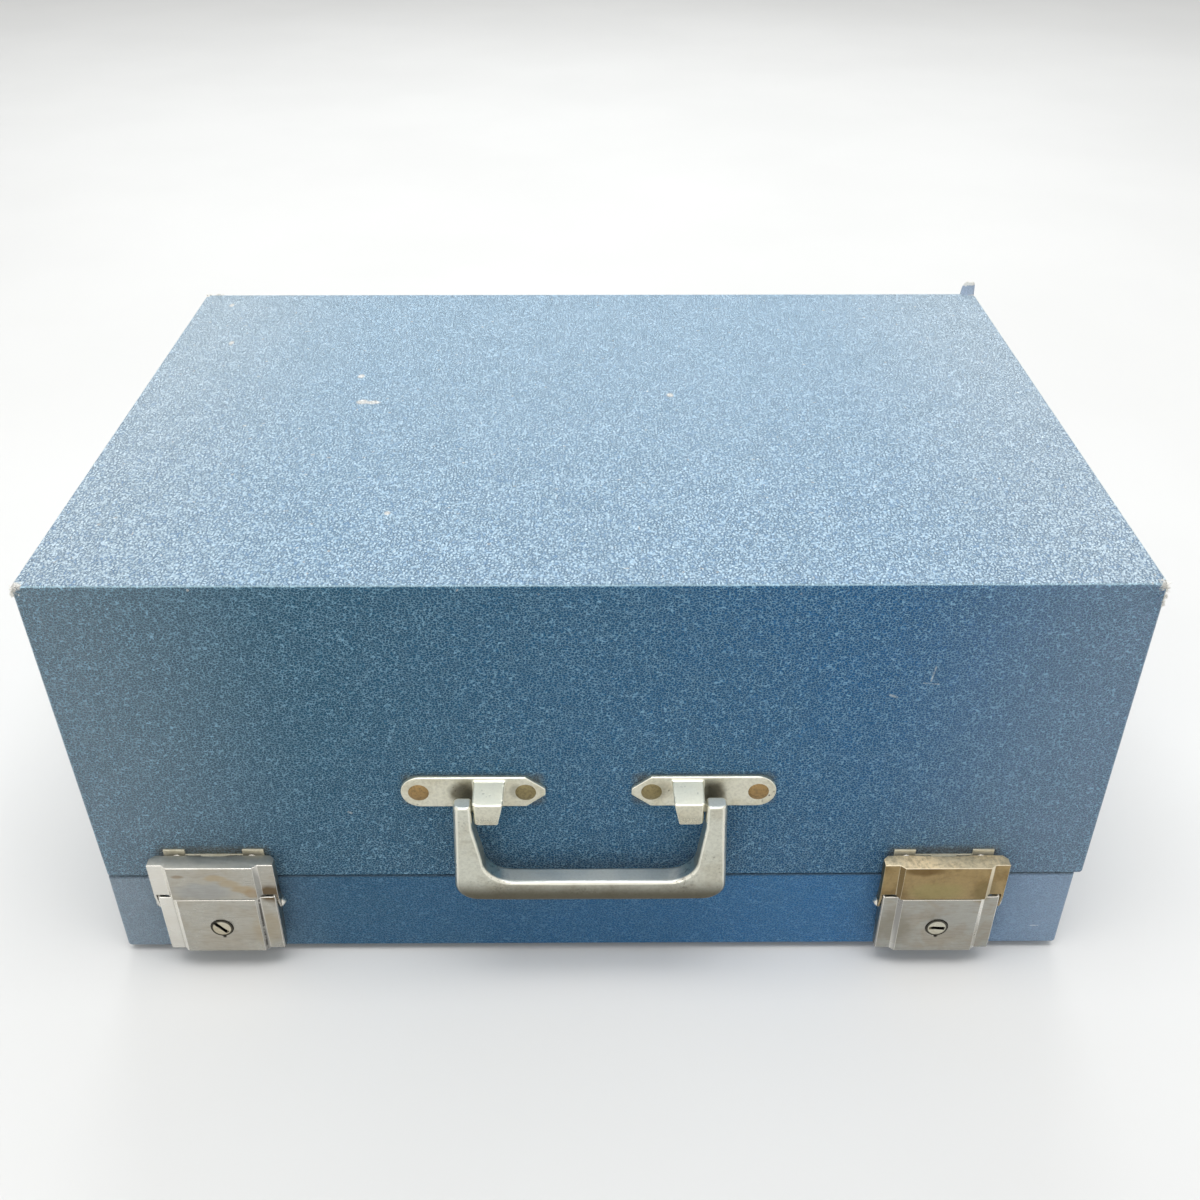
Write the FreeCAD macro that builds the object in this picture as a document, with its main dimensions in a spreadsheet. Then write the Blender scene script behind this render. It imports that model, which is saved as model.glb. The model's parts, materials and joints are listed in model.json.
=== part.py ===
import FreeCAD, Part
import math
import os
import Sketcher
from types import SimpleNamespace

# Portable typewriter case.
# The frame: X to the right, Y to the back, Z up, in millimetres.
# The origin is the middle of the whole outline seen from above, on the plane that the feet stand on.

SIZES = [
    # The two halves of the case
    ("base_width", 394.0),
    ("case_depth", 274.0),
    ("base_height", 41.3),
    ("seam_gap", 0.4),
    ("lid_height", 141.5),
    ("lid_right_lap", 3.0),
    ("lid_left_flare", 3.0),
    ("cover_thickness", 0.9),
    ("wall_thickness", 6.5),
    ("top_thickness", 6.5),
    ("bottom_thickness", 5.0),
    ("lining_thickness", 0.6),
    ("corner_radius", 1.8),
    ("edge_radius", 1.3),
    ("seam_edge_radius", 1.0),
    ("cut_overrun", 5.0),
    # The rim inside the base that the lid drops over
    ("rim_thickness", 3.0),
    ("rim_depth", 16.0),
    ("rim_height", 6.0),
    ("rim_lining_gap", 1.0),
    # The feet
    ("foot_height", 3.0),
    ("foot_radius", 8.0),
    ("foot_tread_radius", 5.5),
    ("foot_nail_radius", 1.2),
    ("foot_nail_length", 5.0),
    ("foot_inset", 26.0),
    # Riveting
    ("rivet_clearance", 0.1),
    ("clinch_height", 0.8),
    # The latches, in from the case's front face and up or down from the base's upper edge
    ("latch_left_inset", 45.8),
    ("latch_right_inset", 55.7),
    ("latch_right_drop", 1.5),
    ("latch_sheet", 1.0),
    ("latch_side_gap", 0.3),
    ("hasp_width", 50.0),
    ("flank_width", 6.0),
    ("slope_width", 2.0),
    ("flank_depth", 8.0),
    ("panel_rise", 1.7),
    ("pivot_out", 4.0),
    ("pivot_drop", 2.3),
    ("link_out", 4.3),
    ("link_drop", 9.3),
    ("pin_radius", 1.25),
    ("pin_clearance", 0.05),
    ("pin_head_radius", 2.1),
    ("pin_head_height", 1.5),
    ("pin_head_gap", 0.1),
    ("pin_peen_radius", 1.9),
    ("pin_peen_height", 0.5),
    ("ear_radius", 2.3),
    ("lever_top_drop", 3.3),
    ("lever_length", 30.0),
    ("lever_foot_gap", 3.9),
    ("lever_corner_radius", 0.9),
    ("hasp_rise", 14.7),
    ("relief_gap", 0.2),
    ("horn_gap", 2.3),
    ("scallop_width", 22.0),
    ("scallop_depth", 2.0),
    ("ledge_corner_cut", 2.0),
    ("latch_plate_top_drop", 0.6),
    ("latch_plate_height", 31.0),
    ("latch_rivet_spread", 32.0),
    ("latch_rivet_top_drop", 7.3),
    ("latch_rivet_row_gap", 20.0),
    ("latch_rivet_radius", 1.5),
    ("latch_rivet_head_radius", 2.8),
    ("latch_rivet_head_height", 0.9),
    ("latch_clinch_radius", 3.0),
    # The locks in the latch levers
    ("plug_drop", 19.3),
    ("plug_radius", 4.4),
    ("plug_clearance", 0.1),
    ("plug_proud", 0.3),
    ("plug_flange_radius", 5.4),
    ("plug_flange_thickness", 1.3),
    ("plug_stem_radius", 2.5),
    ("plug_neck_radius", 1.5),
    ("plug_peen_radius", 2.2),
    ("plug_peen_height", 0.5),
    ("key_slot_width", 1.4),
    ("key_slot_length", 6.4),
    ("key_slot_depth", 1.2),
    ("key_notch_radius", 0.9),
    ("lock_case_width", 15.0),
    ("lock_case_height", 12.0),
    ("lock_case_depth", 2.3),
    ("lock_case_wall", 0.8),
    ("cam_gap", 0.3),
    ("cam_thickness", 0.9),
    ("cam_hub_radius", 3.2),
    ("cam_reach", 9.3),
    ("cam_width", 3.0),
    ("keeper_width", 8.0),
    ("keeper_lip_height", 2.8),
    ("keeper_lip_thickness", 0.8),
    ("keeper_gap", 0.4),
    # The strike plates on the lid
    ("strike_thickness", 0.8),
    ("strike_width", 40.0),
    ("strike_bottom_rise", 4.6),
    ("strike_tab_width", 8.5),
    ("strike_tab_show", 1.3),
    ("strike_lip_width", 10.0),
    ("strike_lip_reach", 3.5),
    ("strike_lip_thickness", 1.0),
    ("strike_lip_gap", 0.4),
    ("strike_rivet_spread", 30.0),
    ("strike_rivet_rise", 11.2),
    ("strike_rivet_radius", 1.2),
    ("strike_rivet_head_radius", 2.2),
    ("strike_rivet_head_height", 0.6),
    ("strike_clinch_radius", 2.2),
    # The handle on the lid
    ("handle_place", -1.2),
    ("handle_rise", 47.2),
    ("handle_plate_thickness", 2.0),
    ("handle_plate_height", 14.8),
    ("handle_tip_place", 16.5),
    ("handle_shoulder_place", 24.0),
    ("handle_end_place", 72.3),
    ("handle_tip_height", 3.0),
    ("handle_inner_rivet_place", 24.2),
    ("handle_outer_rivet_place", 65.4),
    ("handle_rivet_radius", 2.2),
    ("handle_rivet_head_radius", 4.0),
    ("handle_rivet_head_height", 0.9),
    ("handle_clinch_radius", 3.4),
    ("washer_radius", 6.0),
    ("washer_thickness", 1.0),
    ("lug_inner_place", 31.8),
    ("lug_outer_place", 44.0),
    ("lug_top_rise", 6.2),
    ("lug_ridge_rise", 3.6),
    ("lug_ridge_out", 13.6),
    ("lug_chin_drop", 7.6),
    ("lug_chin_out", 12.2),
    ("lug_inner_taper", 2.8),
    ("lug_corner_radius", 2.0),
    ("bail_pivot_drop", 0.4),
    ("bail_pivot_out", 9.7),
    ("bail_shift", 0.6),
    ("bail_side_gap", 1.0),
    ("bail_arm_width", 7.0),
    ("bail_top_rise", 3.0),
    ("bail_depth", 8.6),
    ("bail_drop", 47.9),
    ("bail_grip_height", 11.1),
    ("bail_outer_flare", 1.5),
    ("bail_outer_rise", 12.46),
    ("bail_outer_run", 11.99),
    ("bail_outer_radius", 12.0),
    ("bail_straight_drop", 8.0),
    ("bail_inner_taper", 3.0),
    ("bail_inner_rise", 10.76),
    ("bail_inner_run", 11.94),
    ("bail_inner_radius", 12.0),
    ("bail_edge_radius", 1.6),
    ("tenon_radius", 2.3),
    ("tenon_length", 7.5),
    ("tenon_depth", 8.6),
    ("tenon_clearance", 0.08),
    # The hinges at the back
    ("hinge_inset", 77.0),
    ("hinge_width", 40.0),
    ("hinge_leaf_height", 17.0),
    ("hinge_leaf_thickness", 1.2),
    ("hinge_knuckle_radius", 3.0),
    ("hinge_middle_width", 15.6),
    ("hinge_knuckle_gap", 0.2),
    ("hinge_back_gap", 0.4),
    ("hinge_pin_radius", 1.5),
    ("hinge_pin_clearance", 0.06),
    ("hinge_peen_radius", 2.3),
    ("hinge_peen_height", 0.8),
    ("hinge_rivet_spread", 14.0),
    ("hinge_rivet_drop", 11.0),
    ("hinge_rivet_radius", 1.5),
    ("hinge_rivet_head_radius", 2.9),
    ("hinge_rivet_head_height", 0.9),
    ("hinge_clinch_radius", 3.0),
    # What holds the machine in the base
    ("pad_radius", 13.0),
    ("pad_top_radius", 11.0),
    ("pad_height", 8.0),
    ("pad_side_inset", 57.0),
    ("pad_front_inset", 67.0),
    ("pad_back_inset", 52.0),
    ("pad_screw_radius", 1.8),
    ("pad_screw_head_radius", 3.4),
    ("pad_screw_head_height", 2.0),
    ("pad_screw_sink", 4.0),
    ("pad_screw_bite", 4.5),
    ("block_length", 24.0),
    ("block_width", 15.0),
    ("block_height", 18.0),
    ("block_side_inset", 47.0),
    ("block_wall_gap", 0.5),
    ("clip_length", 34.0),
    ("clip_width", 10.0),
    ("clip_thickness", 1.5),
    ("clip_nose_drop", 3.0),
    ("clip_screw_radius", 2.0),
    ("clip_screw_clearance", 0.1),
    ("clip_screw_head_radius", 4.2),
    ("clip_screw_head_height", 2.4),
    ("clip_screw_bite", 13.0),
    ("clip_seat_gap", 0.05),
]

# How far the left lock is turned at rest, in degrees; the right one stands at zero
LEFT_LOCK_TURN = 45.0


# A size with its value and its expression


class Size:
    """A number that also carries the spreadsheet expression it comes from."""

    def __init__(self, value, text):
        self.value = value
        self.text = text

    def __add__(self, other):
        other = as_size(other)
        return Size(self.value + other.value, f"({self.text} + {other.text})")

    def __sub__(self, other):
        other = as_size(other)
        return Size(self.value - other.value, f"({self.text} - {other.text})")

    def __mul__(self, other):
        other = as_size(other)
        return Size(self.value * other.value, f"{self.text} * {other.text}")

    def __truediv__(self, other):
        other = as_size(other)
        return Size(self.value / other.value, f"{self.text} / {other.text}")

    def __neg__(self):
        return Size(-self.value, f"(0 - {self.text})")

    def __radd__(self, other):
        return as_size(other) + self

    def __rsub__(self, other):
        return as_size(other) - self

    def __rmul__(self, other):
        return as_size(other) * self


def as_size(number):
    if isinstance(number, Size):
        return number
    return Size(float(number), f"({number})")


def root(size):
    return Size(math.sqrt(size.value), f"sqrt({size.text})")


def fill_sheet(document):
    """Writes the sizes into a spreadsheet and gives each of them back by name."""
    sheet = document.addObject("Spreadsheet::Sheet", "dims")
    named = {}
    for row, (alias, number) in enumerate(SIZES, start=1):
        sheet.set(f"A{row}", alias)
        sheet.set(f"B{row}", str(number))
        sheet.setAlias(f"B{row}", alias)
        named[alias] = Size(number, f"dims.{alias}")
    document.recompute()
    return SimpleNamespace(**named)


doc = FreeCAD.newDocument("typewriter_case")
d = fill_sheet(doc)
nodes = []


# Levels and places that many pieces share

base_bottom = d.foot_height
base_top = base_bottom + d.base_height
lid_bottom = base_top + d.seam_gap
lid_top = lid_bottom + d.lid_height
front_reach = d.bail_pivot_out + d.bail_depth / 2
back_reach = d.hinge_back_gap + 2 * d.hinge_knuckle_radius
case_middle = (front_reach - back_reach) / 2
front_face = case_middle - d.case_depth / 2
back_face = case_middle + d.case_depth / 2
half_base = d.base_width / 2
shell_thickness = d.cover_thickness + d.wall_thickness
lined_thickness = shell_thickness + d.lining_thickness
lid_ceiling = lid_top - d.cover_thickness - d.top_thickness
base_floor = base_bottom + d.cover_thickness + d.bottom_thickness
tray_floor = base_floor + d.lining_thickness
drill_length = 4 * lined_thickness


# Tools for building


def bind(thing, name, size):
    thing.setExpression(name, as_size(size).text)


def place(thing, x, y, z):
    for axis, size in zip("xyz", (x, y, z)):
        bind(thing, f"Placement.Base.{axis}", size)


def node(thing, label):
    """Marks a finished object as a sub-part under the name of its file."""
    thing.Label = label
    nodes.append(thing)
    return thing


def body_at(name, x, y, z):
    body = doc.addObject("PartDesign::Body", name)
    place(body, x, y, z)
    return body


def origin_item(body, role):
    return [item for item in body.Origin.OriginFeatures if item.Role == role][0]


def sketch_on(body, role, offset):
    sketch = body.newObject("Sketcher::SketchObject", body.Name + "_sketch")
    sketch.AttachmentSupport = (origin_item(body, role), [""])
    sketch.MapMode = "FlatFace"
    bind(sketch, "AttachmentOffset.Base.z", offset)
    return sketch


def arc_between(start, end, radius, turn):
    """The shorter arc from start to end; a positive turn runs anticlockwise."""
    chord_u = end[0] - start[0]
    chord_v = end[1] - start[1]
    chord = math.hypot(chord_u, chord_v)
    rise = math.sqrt(max(radius * radius - chord * chord / 4, 0))
    centre_u = (start[0] + end[0]) / 2 - turn * rise * chord_v / chord
    centre_v = (start[1] + end[1]) / 2 + turn * rise * chord_u / chord
    first, last = (start, end) if turn > 0 else (end, start)
    from_angle = math.atan2(first[1] - centre_v, first[0] - centre_u)
    to_angle = math.atan2(last[1] - centre_v, last[0] - centre_u)
    if to_angle < from_angle:
        to_angle += 2 * math.pi
    circle = Part.Circle(FreeCAD.Vector(centre_u, centre_v, 0), FreeCAD.Vector(0, 0, 1), radius)
    return Part.ArcOfCircle(circle, from_angle, to_angle)


def outline(body, role, points, offset=0):
    """A closed sketch through points (u, v), or (u, v, radius, turn) where an arc leads to the point."""
    sketch = sketch_on(body, role, offset)
    points = [(as_size(point[0]), as_size(point[1])) + tuple(point[2:]) for point in points]
    ends = []
    for index, point in enumerate(points):
        following = points[(index + 1) % len(points)]
        start = (point[0].value, point[1].value)
        end = (following[0].value, following[1].value)
        if len(following) == 4:
            radius, turn = following[2], following[3]
            item = sketch.addGeometry(arc_between(start, end, radius.value, turn), False)
            ends.append((item, 1, 2) if turn > 0 else (item, 2, 1))
            held = sketch.addConstraint(Sketcher.Constraint("Radius", item, radius.value))
            bind(sketch, f"Constraints[{held}]", radius)
        else:
            line = Part.LineSegment(FreeCAD.Vector(*start, 0), FreeCAD.Vector(*end, 0))
            item = sketch.addGeometry(line, False)
            ends.append((item, 1, 2))
    for index, (item, first, last) in enumerate(ends):
        after, after_first, after_last = ends[(index + 1) % len(ends)]
        sketch.addConstraint(Sketcher.Constraint("Coincident", item, last, after, after_first))
        for kind, size in (("DistanceX", points[index][0]), ("DistanceY", points[index][1])):
            held = sketch.addConstraint(Sketcher.Constraint(kind, -1, 1, item, first, size.value))
            bind(sketch, f"Constraints[{held}]", size)
    return sketch


def rectangle(u_low, u_high, v_low, v_high):
    return [(u_low, v_low), (u_high, v_low), (u_high, v_high), (u_low, v_high)]


def circles(body, role, places, radius, offset=0):
    """A sketch of equal circles at places (u, v)."""
    sketch = sketch_on(body, role, offset)
    for u, v in places:
        u, v = as_size(u), as_size(v)
        centre = FreeCAD.Vector(u.value, v.value, 0)
        item = sketch.addGeometry(Part.Circle(centre, FreeCAD.Vector(0, 0, 1), radius.value), False)
        held = sketch.addConstraint(Sketcher.Constraint("Radius", item, radius.value))
        bind(sketch, f"Constraints[{held}]", radius)
        for kind, size in (("DistanceX", u), ("DistanceY", v)):
            held = sketch.addConstraint(Sketcher.Constraint(kind, -1, 1, item, 3, size.value))
            bind(sketch, f"Constraints[{held}]", size)
    return sketch


def grow(body, kind, sketch, length, both_ways=False, backwards=False):
    """A Pad or Pocket of a sketch."""
    feature = body.newObject(f"PartDesign::{kind}", body.Name + "_" + kind.lower())
    feature.Profile = sketch
    bind(feature, "Length", length)
    if both_ways:
        feature.SideType = "Symmetric"
    feature.Reversed = backwards
    return feature


def pad(body, sketch, length, both_ways=False, backwards=False):
    return grow(body, "Pad", sketch, length, both_ways, backwards)


def pocket(body, sketch, length, both_ways=False, backwards=False):
    return grow(body, "Pocket", sketch, length, both_ways, backwards)


def mirrored(body, features):
    """The same features on the other side of the body's middle plane."""
    copy = body.newObject("PartDesign::Mirrored", body.Name + "_mirrored")
    copy.Originals = features
    copy.MirrorPlane = (origin_item(body, "YZ_Plane"), [""])
    body.Tip = copy
    return copy


def turned(body, sketch, role="Y_Axis"):
    """A full revolution about one of the body's own axes."""
    feature = body.newObject("PartDesign::Revolution", body.Name + "_turned")
    feature.Profile = sketch
    feature.ReferenceAxis = (origin_item(body, role), [""])
    feature.Angle = 360
    return feature


def rounded(body, radius, wanted):
    """Rounds the edges of the body so far that answer to wanted."""
    doc.recompute()
    base = body.Tip
    names = [f"Edge{number}" for number, edge in enumerate(base.Shape.Edges, start=1) if wanted(edge)]
    feature = body.newObject("PartDesign::Fillet", body.Name + "_rounded")
    feature.Base = (base, names)
    bind(feature, "Radius", radius)
    return feature


def upright(edge):
    """True for a straight edge that runs from low to high."""
    box = edge.BoundBox
    return box.ZLength > box.XLength + box.YLength


def at_height(height):
    """A test for edges that lie level at the given height."""
    def lies_there(edge):
        box = edge.BoundBox
        near = min(height.value / 1e6, 1)
        return abs(box.ZMin - height.value) < near and abs(box.ZMax - height.value) < near
    return lies_there


def slab(name, x_low, x_high, y_low, y_high, z_low, z_high):
    block = doc.addObject("Part::Box", name)
    bind(block, "Length", as_size(x_high) - x_low)
    bind(block, "Width", as_size(y_high) - y_low)
    bind(block, "Height", as_size(z_high) - z_low)
    place(block, x_low, y_low, z_low)
    return block


def rod(name, radius, length, x, y, z, along="Z"):
    """A cylinder that starts at a place and runs the given way."""
    cylinder = doc.addObject("Part::Cylinder", name)
    bind(cylinder, "Radius", radius)
    bind(cylinder, "Height", length)
    turns = {"Z": ((0, 0, 1), 0), "Y": ((1, 0, 0), -90), "X": ((0, 1, 0), 90)}
    axis, angle = turns[along]
    cylinder.Placement = FreeCAD.Placement(FreeCAD.Vector(0, 0, 0), FreeCAD.Rotation(FreeCAD.Vector(*axis), angle))
    place(cylinder, x, y, z)
    return cylinder


def cut(base, tool, name):
    feature = doc.addObject("Part::Cut", name)
    feature.Base = base
    feature.Tool = tool
    return feature


def common(base, tool, name):
    feature = doc.addObject("Part::Common", name)
    feature.Base = base
    feature.Tool = tool
    return feature


def fuse(items, name):
    feature = doc.addObject("Part::MultiFuse", name)
    feature.Shapes = items
    return feature


def group(items, name):
    feature = doc.addObject("Part::Compound", name)
    feature.Links = items
    return feature


def links_at(master, places, name, half_turn=False):
    """Links to one master, one at each place."""
    links = []
    turn = 180 if half_turn else 0
    for index, (x, y, z) in enumerate(places):
        link = doc.addObject("App::Link", f"{name}_{index}")
        link.LinkedObject = master
        link.LinkTransform = True
        link.Placement = FreeCAD.Placement(FreeCAD.Vector(0, 0, 0), FreeCAD.Rotation(FreeCAD.Vector(0, 0, 1), turn))
        place(link, x, y, z)
        links.append(link)
    return links


def copies(master, places, name, half_turn=False):
    """The same, gathered in a compound."""
    return group(links_at(master, places, name, half_turn), name)


def rivet(name, head_radius, head_height, shank_radius, grip, clinch_radius):
    """A domed rivet along Y: its head stands at negative Y, its clinched end past the grip."""
    body = body_at(name, 0, 0, 0)
    dome = (head_radius * head_radius + head_height * head_height) / (2 * head_height)
    end = grip + d.clinch_height
    turned(body, outline(body, "XY_Plane", [
        (0, -head_height),
        (head_radius, 0, dome, 1),
        (shank_radius, 0),
        (shank_radius, grip),
        (clinch_radius, grip),
        (clinch_radius, end),
        (0, end),
    ]))
    return body


def drill(name, radius):
    """A cylinder along Y, centred on the place where it is put, that cuts a rivet's hole."""
    return rod(name, radius + d.rivet_clearance, drill_length, 0, -drill_length / 2, 0, "Y")


def drill_holes(name, radius, places):
    """The cylinders that cut a group of rivet holes through a wall."""
    start = rod(name + "_drill", radius + d.rivet_clearance, drill_length, 0, 0, 0, "Y")
    moved = [(x, as_size(y) - drill_length / 2, z) for x, y, z in places]
    return copies(start, moved, name)


# The forms of the two halves


def half_form(name, left_low, left_high, right, low, high, inset, rounding):
    """A block as wide as the given reaches, drawn in from the case's outline by the inset."""
    body = body_at(name, 0, case_middle, 0)
    pad(body, outline(body, "XZ_Plane", [
        (-left_low, low),
        (right, low),
        (right, high),
        (-left_high, high),
    ]), d.case_depth - 2 * inset, both_ways=True)
    for radius, wanted in rounding:
        rounded(body, radius, wanted)
    return body


def base_form(name, inset, low, high, rounding):
    reach = half_base - inset
    return half_form(name, reach, reach, reach, low, high, inset, rounding)


def lid_form(name, inset, low, high, rounding):
    """The lid's left side leans out by the flare from its lower edge to its top."""
    lean = d.lid_left_flare / d.lid_height
    left_low = half_base - inset + (low - lid_bottom) * lean
    left_high = half_base - inset + (high - lid_bottom) * lean
    return half_form(name, left_low, left_high, half_base + d.lid_right_lap - inset, low, high, inset, rounding)


def wall_pieces(shell, prefix, low, high):
    """The front, back, left and right walls of a half, butted at the corners."""
    front_inner = front_face + shell_thickness
    back_inner = back_face - shell_thickness
    wide = d.base_width
    deep = d.case_depth
    cuts = {
        "front": (-wide, wide, -deep, front_inner),
        "back": (-wide, wide, back_inner, deep),
        "left": (-wide, 0, front_inner, back_inner),
        "right": (0, wide, front_inner, back_inner),
    }
    walls = {}
    for side, (x_low, x_high, y_low, y_high) in cuts.items():
        tool = slab(f"{prefix}_{side}_cut", x_low, x_high, y_low, y_high, low, high)
        walls[side] = common(shell, tool, f"{prefix}_{side}_wall")
    return walls


# Where the rivets sit


def front_places(x, z_list, spread):
    """Places on the front face, in pairs spread about x."""
    return [(x + side * spread / 2, front_face, z) for z in z_list for side in (-1, 1)]


left_latch = SimpleNamespace(side="left", x=d.latch_left_inset - half_base, seat=base_top)
right_latch = SimpleNamespace(side="right", x=half_base - d.latch_right_inset, seat=base_top - d.latch_right_drop)
latches = (left_latch, right_latch)

latch_rivet_places = []
strike_rivet_places = []
for latch in latches:
    upper_row = latch.seat - d.latch_rivet_top_drop
    lower_row = upper_row - d.latch_rivet_row_gap
    latch_rivet_places += front_places(latch.x, (upper_row, lower_row), d.latch_rivet_spread)
    strike_rivet_places += front_places(latch.x, (latch.seat + d.strike_rivet_rise,), d.strike_rivet_spread)

handle_height = lid_bottom + d.handle_rise
handle_rivet_places = []
for handle_spread in (d.handle_inner_rivet_place, d.handle_outer_rivet_place):
    handle_rivet_places += front_places(d.handle_place, (handle_height,), 2 * handle_spread)

hinge_places = [d.hinge_inset - half_base, half_base - d.hinge_inset]
hinge_height = base_top + d.seam_gap / 2
hinge_offsets = (-d.hinge_rivet_spread, 0, d.hinge_rivet_spread)
base_hinge_rivet_places = [(x + offset, back_face, hinge_height - d.hinge_rivet_drop)
                           for x in hinge_places for offset in hinge_offsets]
lid_hinge_rivet_places = [(x + offset, back_face, hinge_height + d.hinge_rivet_drop)
                          for x in hinge_places for offset in hinge_offsets]

foot_places = [(across * (half_base - d.foot_inset), y, base_bottom)
               for across in (-1, 1) for y in (front_face + d.foot_inset, back_face - d.foot_inset)]

pad_places = [(across * (half_base - d.pad_side_inset), y, tray_floor)
              for across in (-1, 1) for y in (front_face + d.pad_front_inset, back_face - d.pad_back_inset)]

block_front = front_face + lined_thickness + d.rim_thickness + d.block_wall_gap
clip_y = block_front + d.block_width / 2
block_top = tray_floor + d.block_height


# Base of the case


def build_base():
    far_above = base_top + d.cut_overrun + d.rim_height
    outer = base_form("base_outer", 0, base_bottom, base_top, [
        (d.corner_radius, upright),
        (d.edge_radius, at_height(base_bottom)),
        (d.seam_edge_radius, at_height(base_top)),
    ])
    wood_bottom = base_bottom + d.cover_thickness
    wood_top = base_top - d.cover_thickness
    wood = base_form("base_wood", d.cover_thickness, wood_bottom, wood_top, [
        (d.corner_radius - d.cover_thickness, upright),
        (d.edge_radius - d.cover_thickness, at_height(wood_bottom)),
    ])
    cavity = base_form("base_cavity", shell_thickness, base_floor, far_above, [])
    lined = base_form("base_lined", lined_thickness, tray_floor, far_above, [])
    shell = cut(wood, cavity, "base_shell")

    front_holes = drill_holes("base_front_holes", d.latch_rivet_radius, latch_rivet_places)
    back_holes = drill_holes("base_back_holes", d.hinge_rivet_radius, base_hinge_rivet_places)
    nail = rod("foot_nail_hole", d.foot_nail_radius + d.rivet_clearance,
               d.foot_nail_length + d.rivet_clearance, 0, 0, 0)
    nail_holes = copies(nail, foot_places, "foot_nail_holes")

    walls = wall_pieces(shell, "base", base_floor, base_top)
    node(cut(walls["front"], front_holes, "base_front_panel"), "base_front_panel")
    node(cut(walls["back"], back_holes, "base_back_panel"), "base_back_panel")
    node(walls["left"], "base_left_panel")
    node(walls["right"], "base_right_panel")
    floor_cut = slab("base_floor_cut", -d.base_width, d.base_width, -d.case_depth, d.case_depth, 0, base_floor)
    floor_holes = group([nail_holes, floor_screw_holes()], "base_floor_holes")
    node(cut(common(shell, floor_cut, "base_floor_blank"), floor_holes, "base_bottom_panel"), "base_bottom_panel")

    inside = fuse([wood, cavity], "base_inside")
    skin = cut(outer, inside, "base_skin")
    skin_holes = group([front_holes, back_holes, nail_holes], "base_skin_holes")
    node(cut(skin, skin_holes, "base_covering"), "base_covering")

    lining_room = slab("base_lining_room", -d.base_width, d.base_width, -d.case_depth, d.case_depth,
                       0, base_top - d.seam_edge_radius)
    lining = common(cut(cavity, lined, "base_lining_shell"), lining_room, "base_lining_blank")
    lining_holes = group([front_holes, back_holes, floor_screw_holes()], "base_lining_holes")
    node(cut(lining, lining_holes, "base_lining"), "base_lining")


def floor_screw_holes():
    """The holes that the pad screws make in the floor of the tray."""
    hole = rod("pad_screw_hole", d.pad_screw_radius + d.rivet_clearance,
               2 * d.pad_screw_bite, 0, 0, 0)
    places = [(x, y, z - d.pad_screw_bite - d.rivet_clearance) for x, y, z in pad_places]
    return copies(hole, places, "pad_screw_holes")


def build_rim():
    """Four strips that stand up inside the base, a lining's thickness in from its walls."""
    reach = half_base - lined_thickness
    front = front_face + lined_thickness
    back = back_face - lined_thickness
    thick = d.rim_thickness
    low = base_top - d.rim_depth
    high = base_top + d.rim_height
    strips = [
        slab("rim_front", -reach, reach, front, front + thick, low, high),
        slab("rim_back", -reach, reach, back - thick, back, low, high),
        slab("rim_left", -reach, -reach + thick, front + thick, back - thick, low, high),
        slab("rim_right", reach - thick, reach, front + thick, back - thick, low, high),
    ]
    # Clinched rivet ends stand behind the strips, so the front and back strips are cut to clear them
    ends = rod("rim_clearing", d.latch_clinch_radius + d.pin_head_gap, d.clinch_height + d.pin_head_gap,
               0, 0, 0, "Y")
    front_ends = copies(ends, [(x, front, z) for x, y, z in latch_rivet_places], "rim_front_clearing")
    back_ends = copies(ends, [(x, back - d.clinch_height - d.pin_head_gap, z)
                              for x, y, z in base_hinge_rivet_places], "rim_back_clearing")
    cleared = [
        cut(strips[0], front_ends, "rim_front_cleared"),
        cut(strips[1], back_ends, "rim_back_cleared"),
        strips[2],
        strips[3],
    ]
    node(group(cleared, "locating_rim"), "locating_rim")


def build_feet():
    tread = doc.addObject("Part::Cone", "foot_tread")
    bind(tread, "Radius1", d.foot_tread_radius)
    bind(tread, "Radius2", d.foot_radius)
    bind(tread, "Height", d.foot_height)
    place(tread, 0, 0, -d.foot_height)
    nail = rod("foot_nail", d.foot_nail_radius, d.foot_nail_length, 0, 0, 0)
    foot = fuse([tread, nail], "foot")
    node(copies(foot, foot_places, "feet"), "feet")


# Lid of the case


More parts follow.
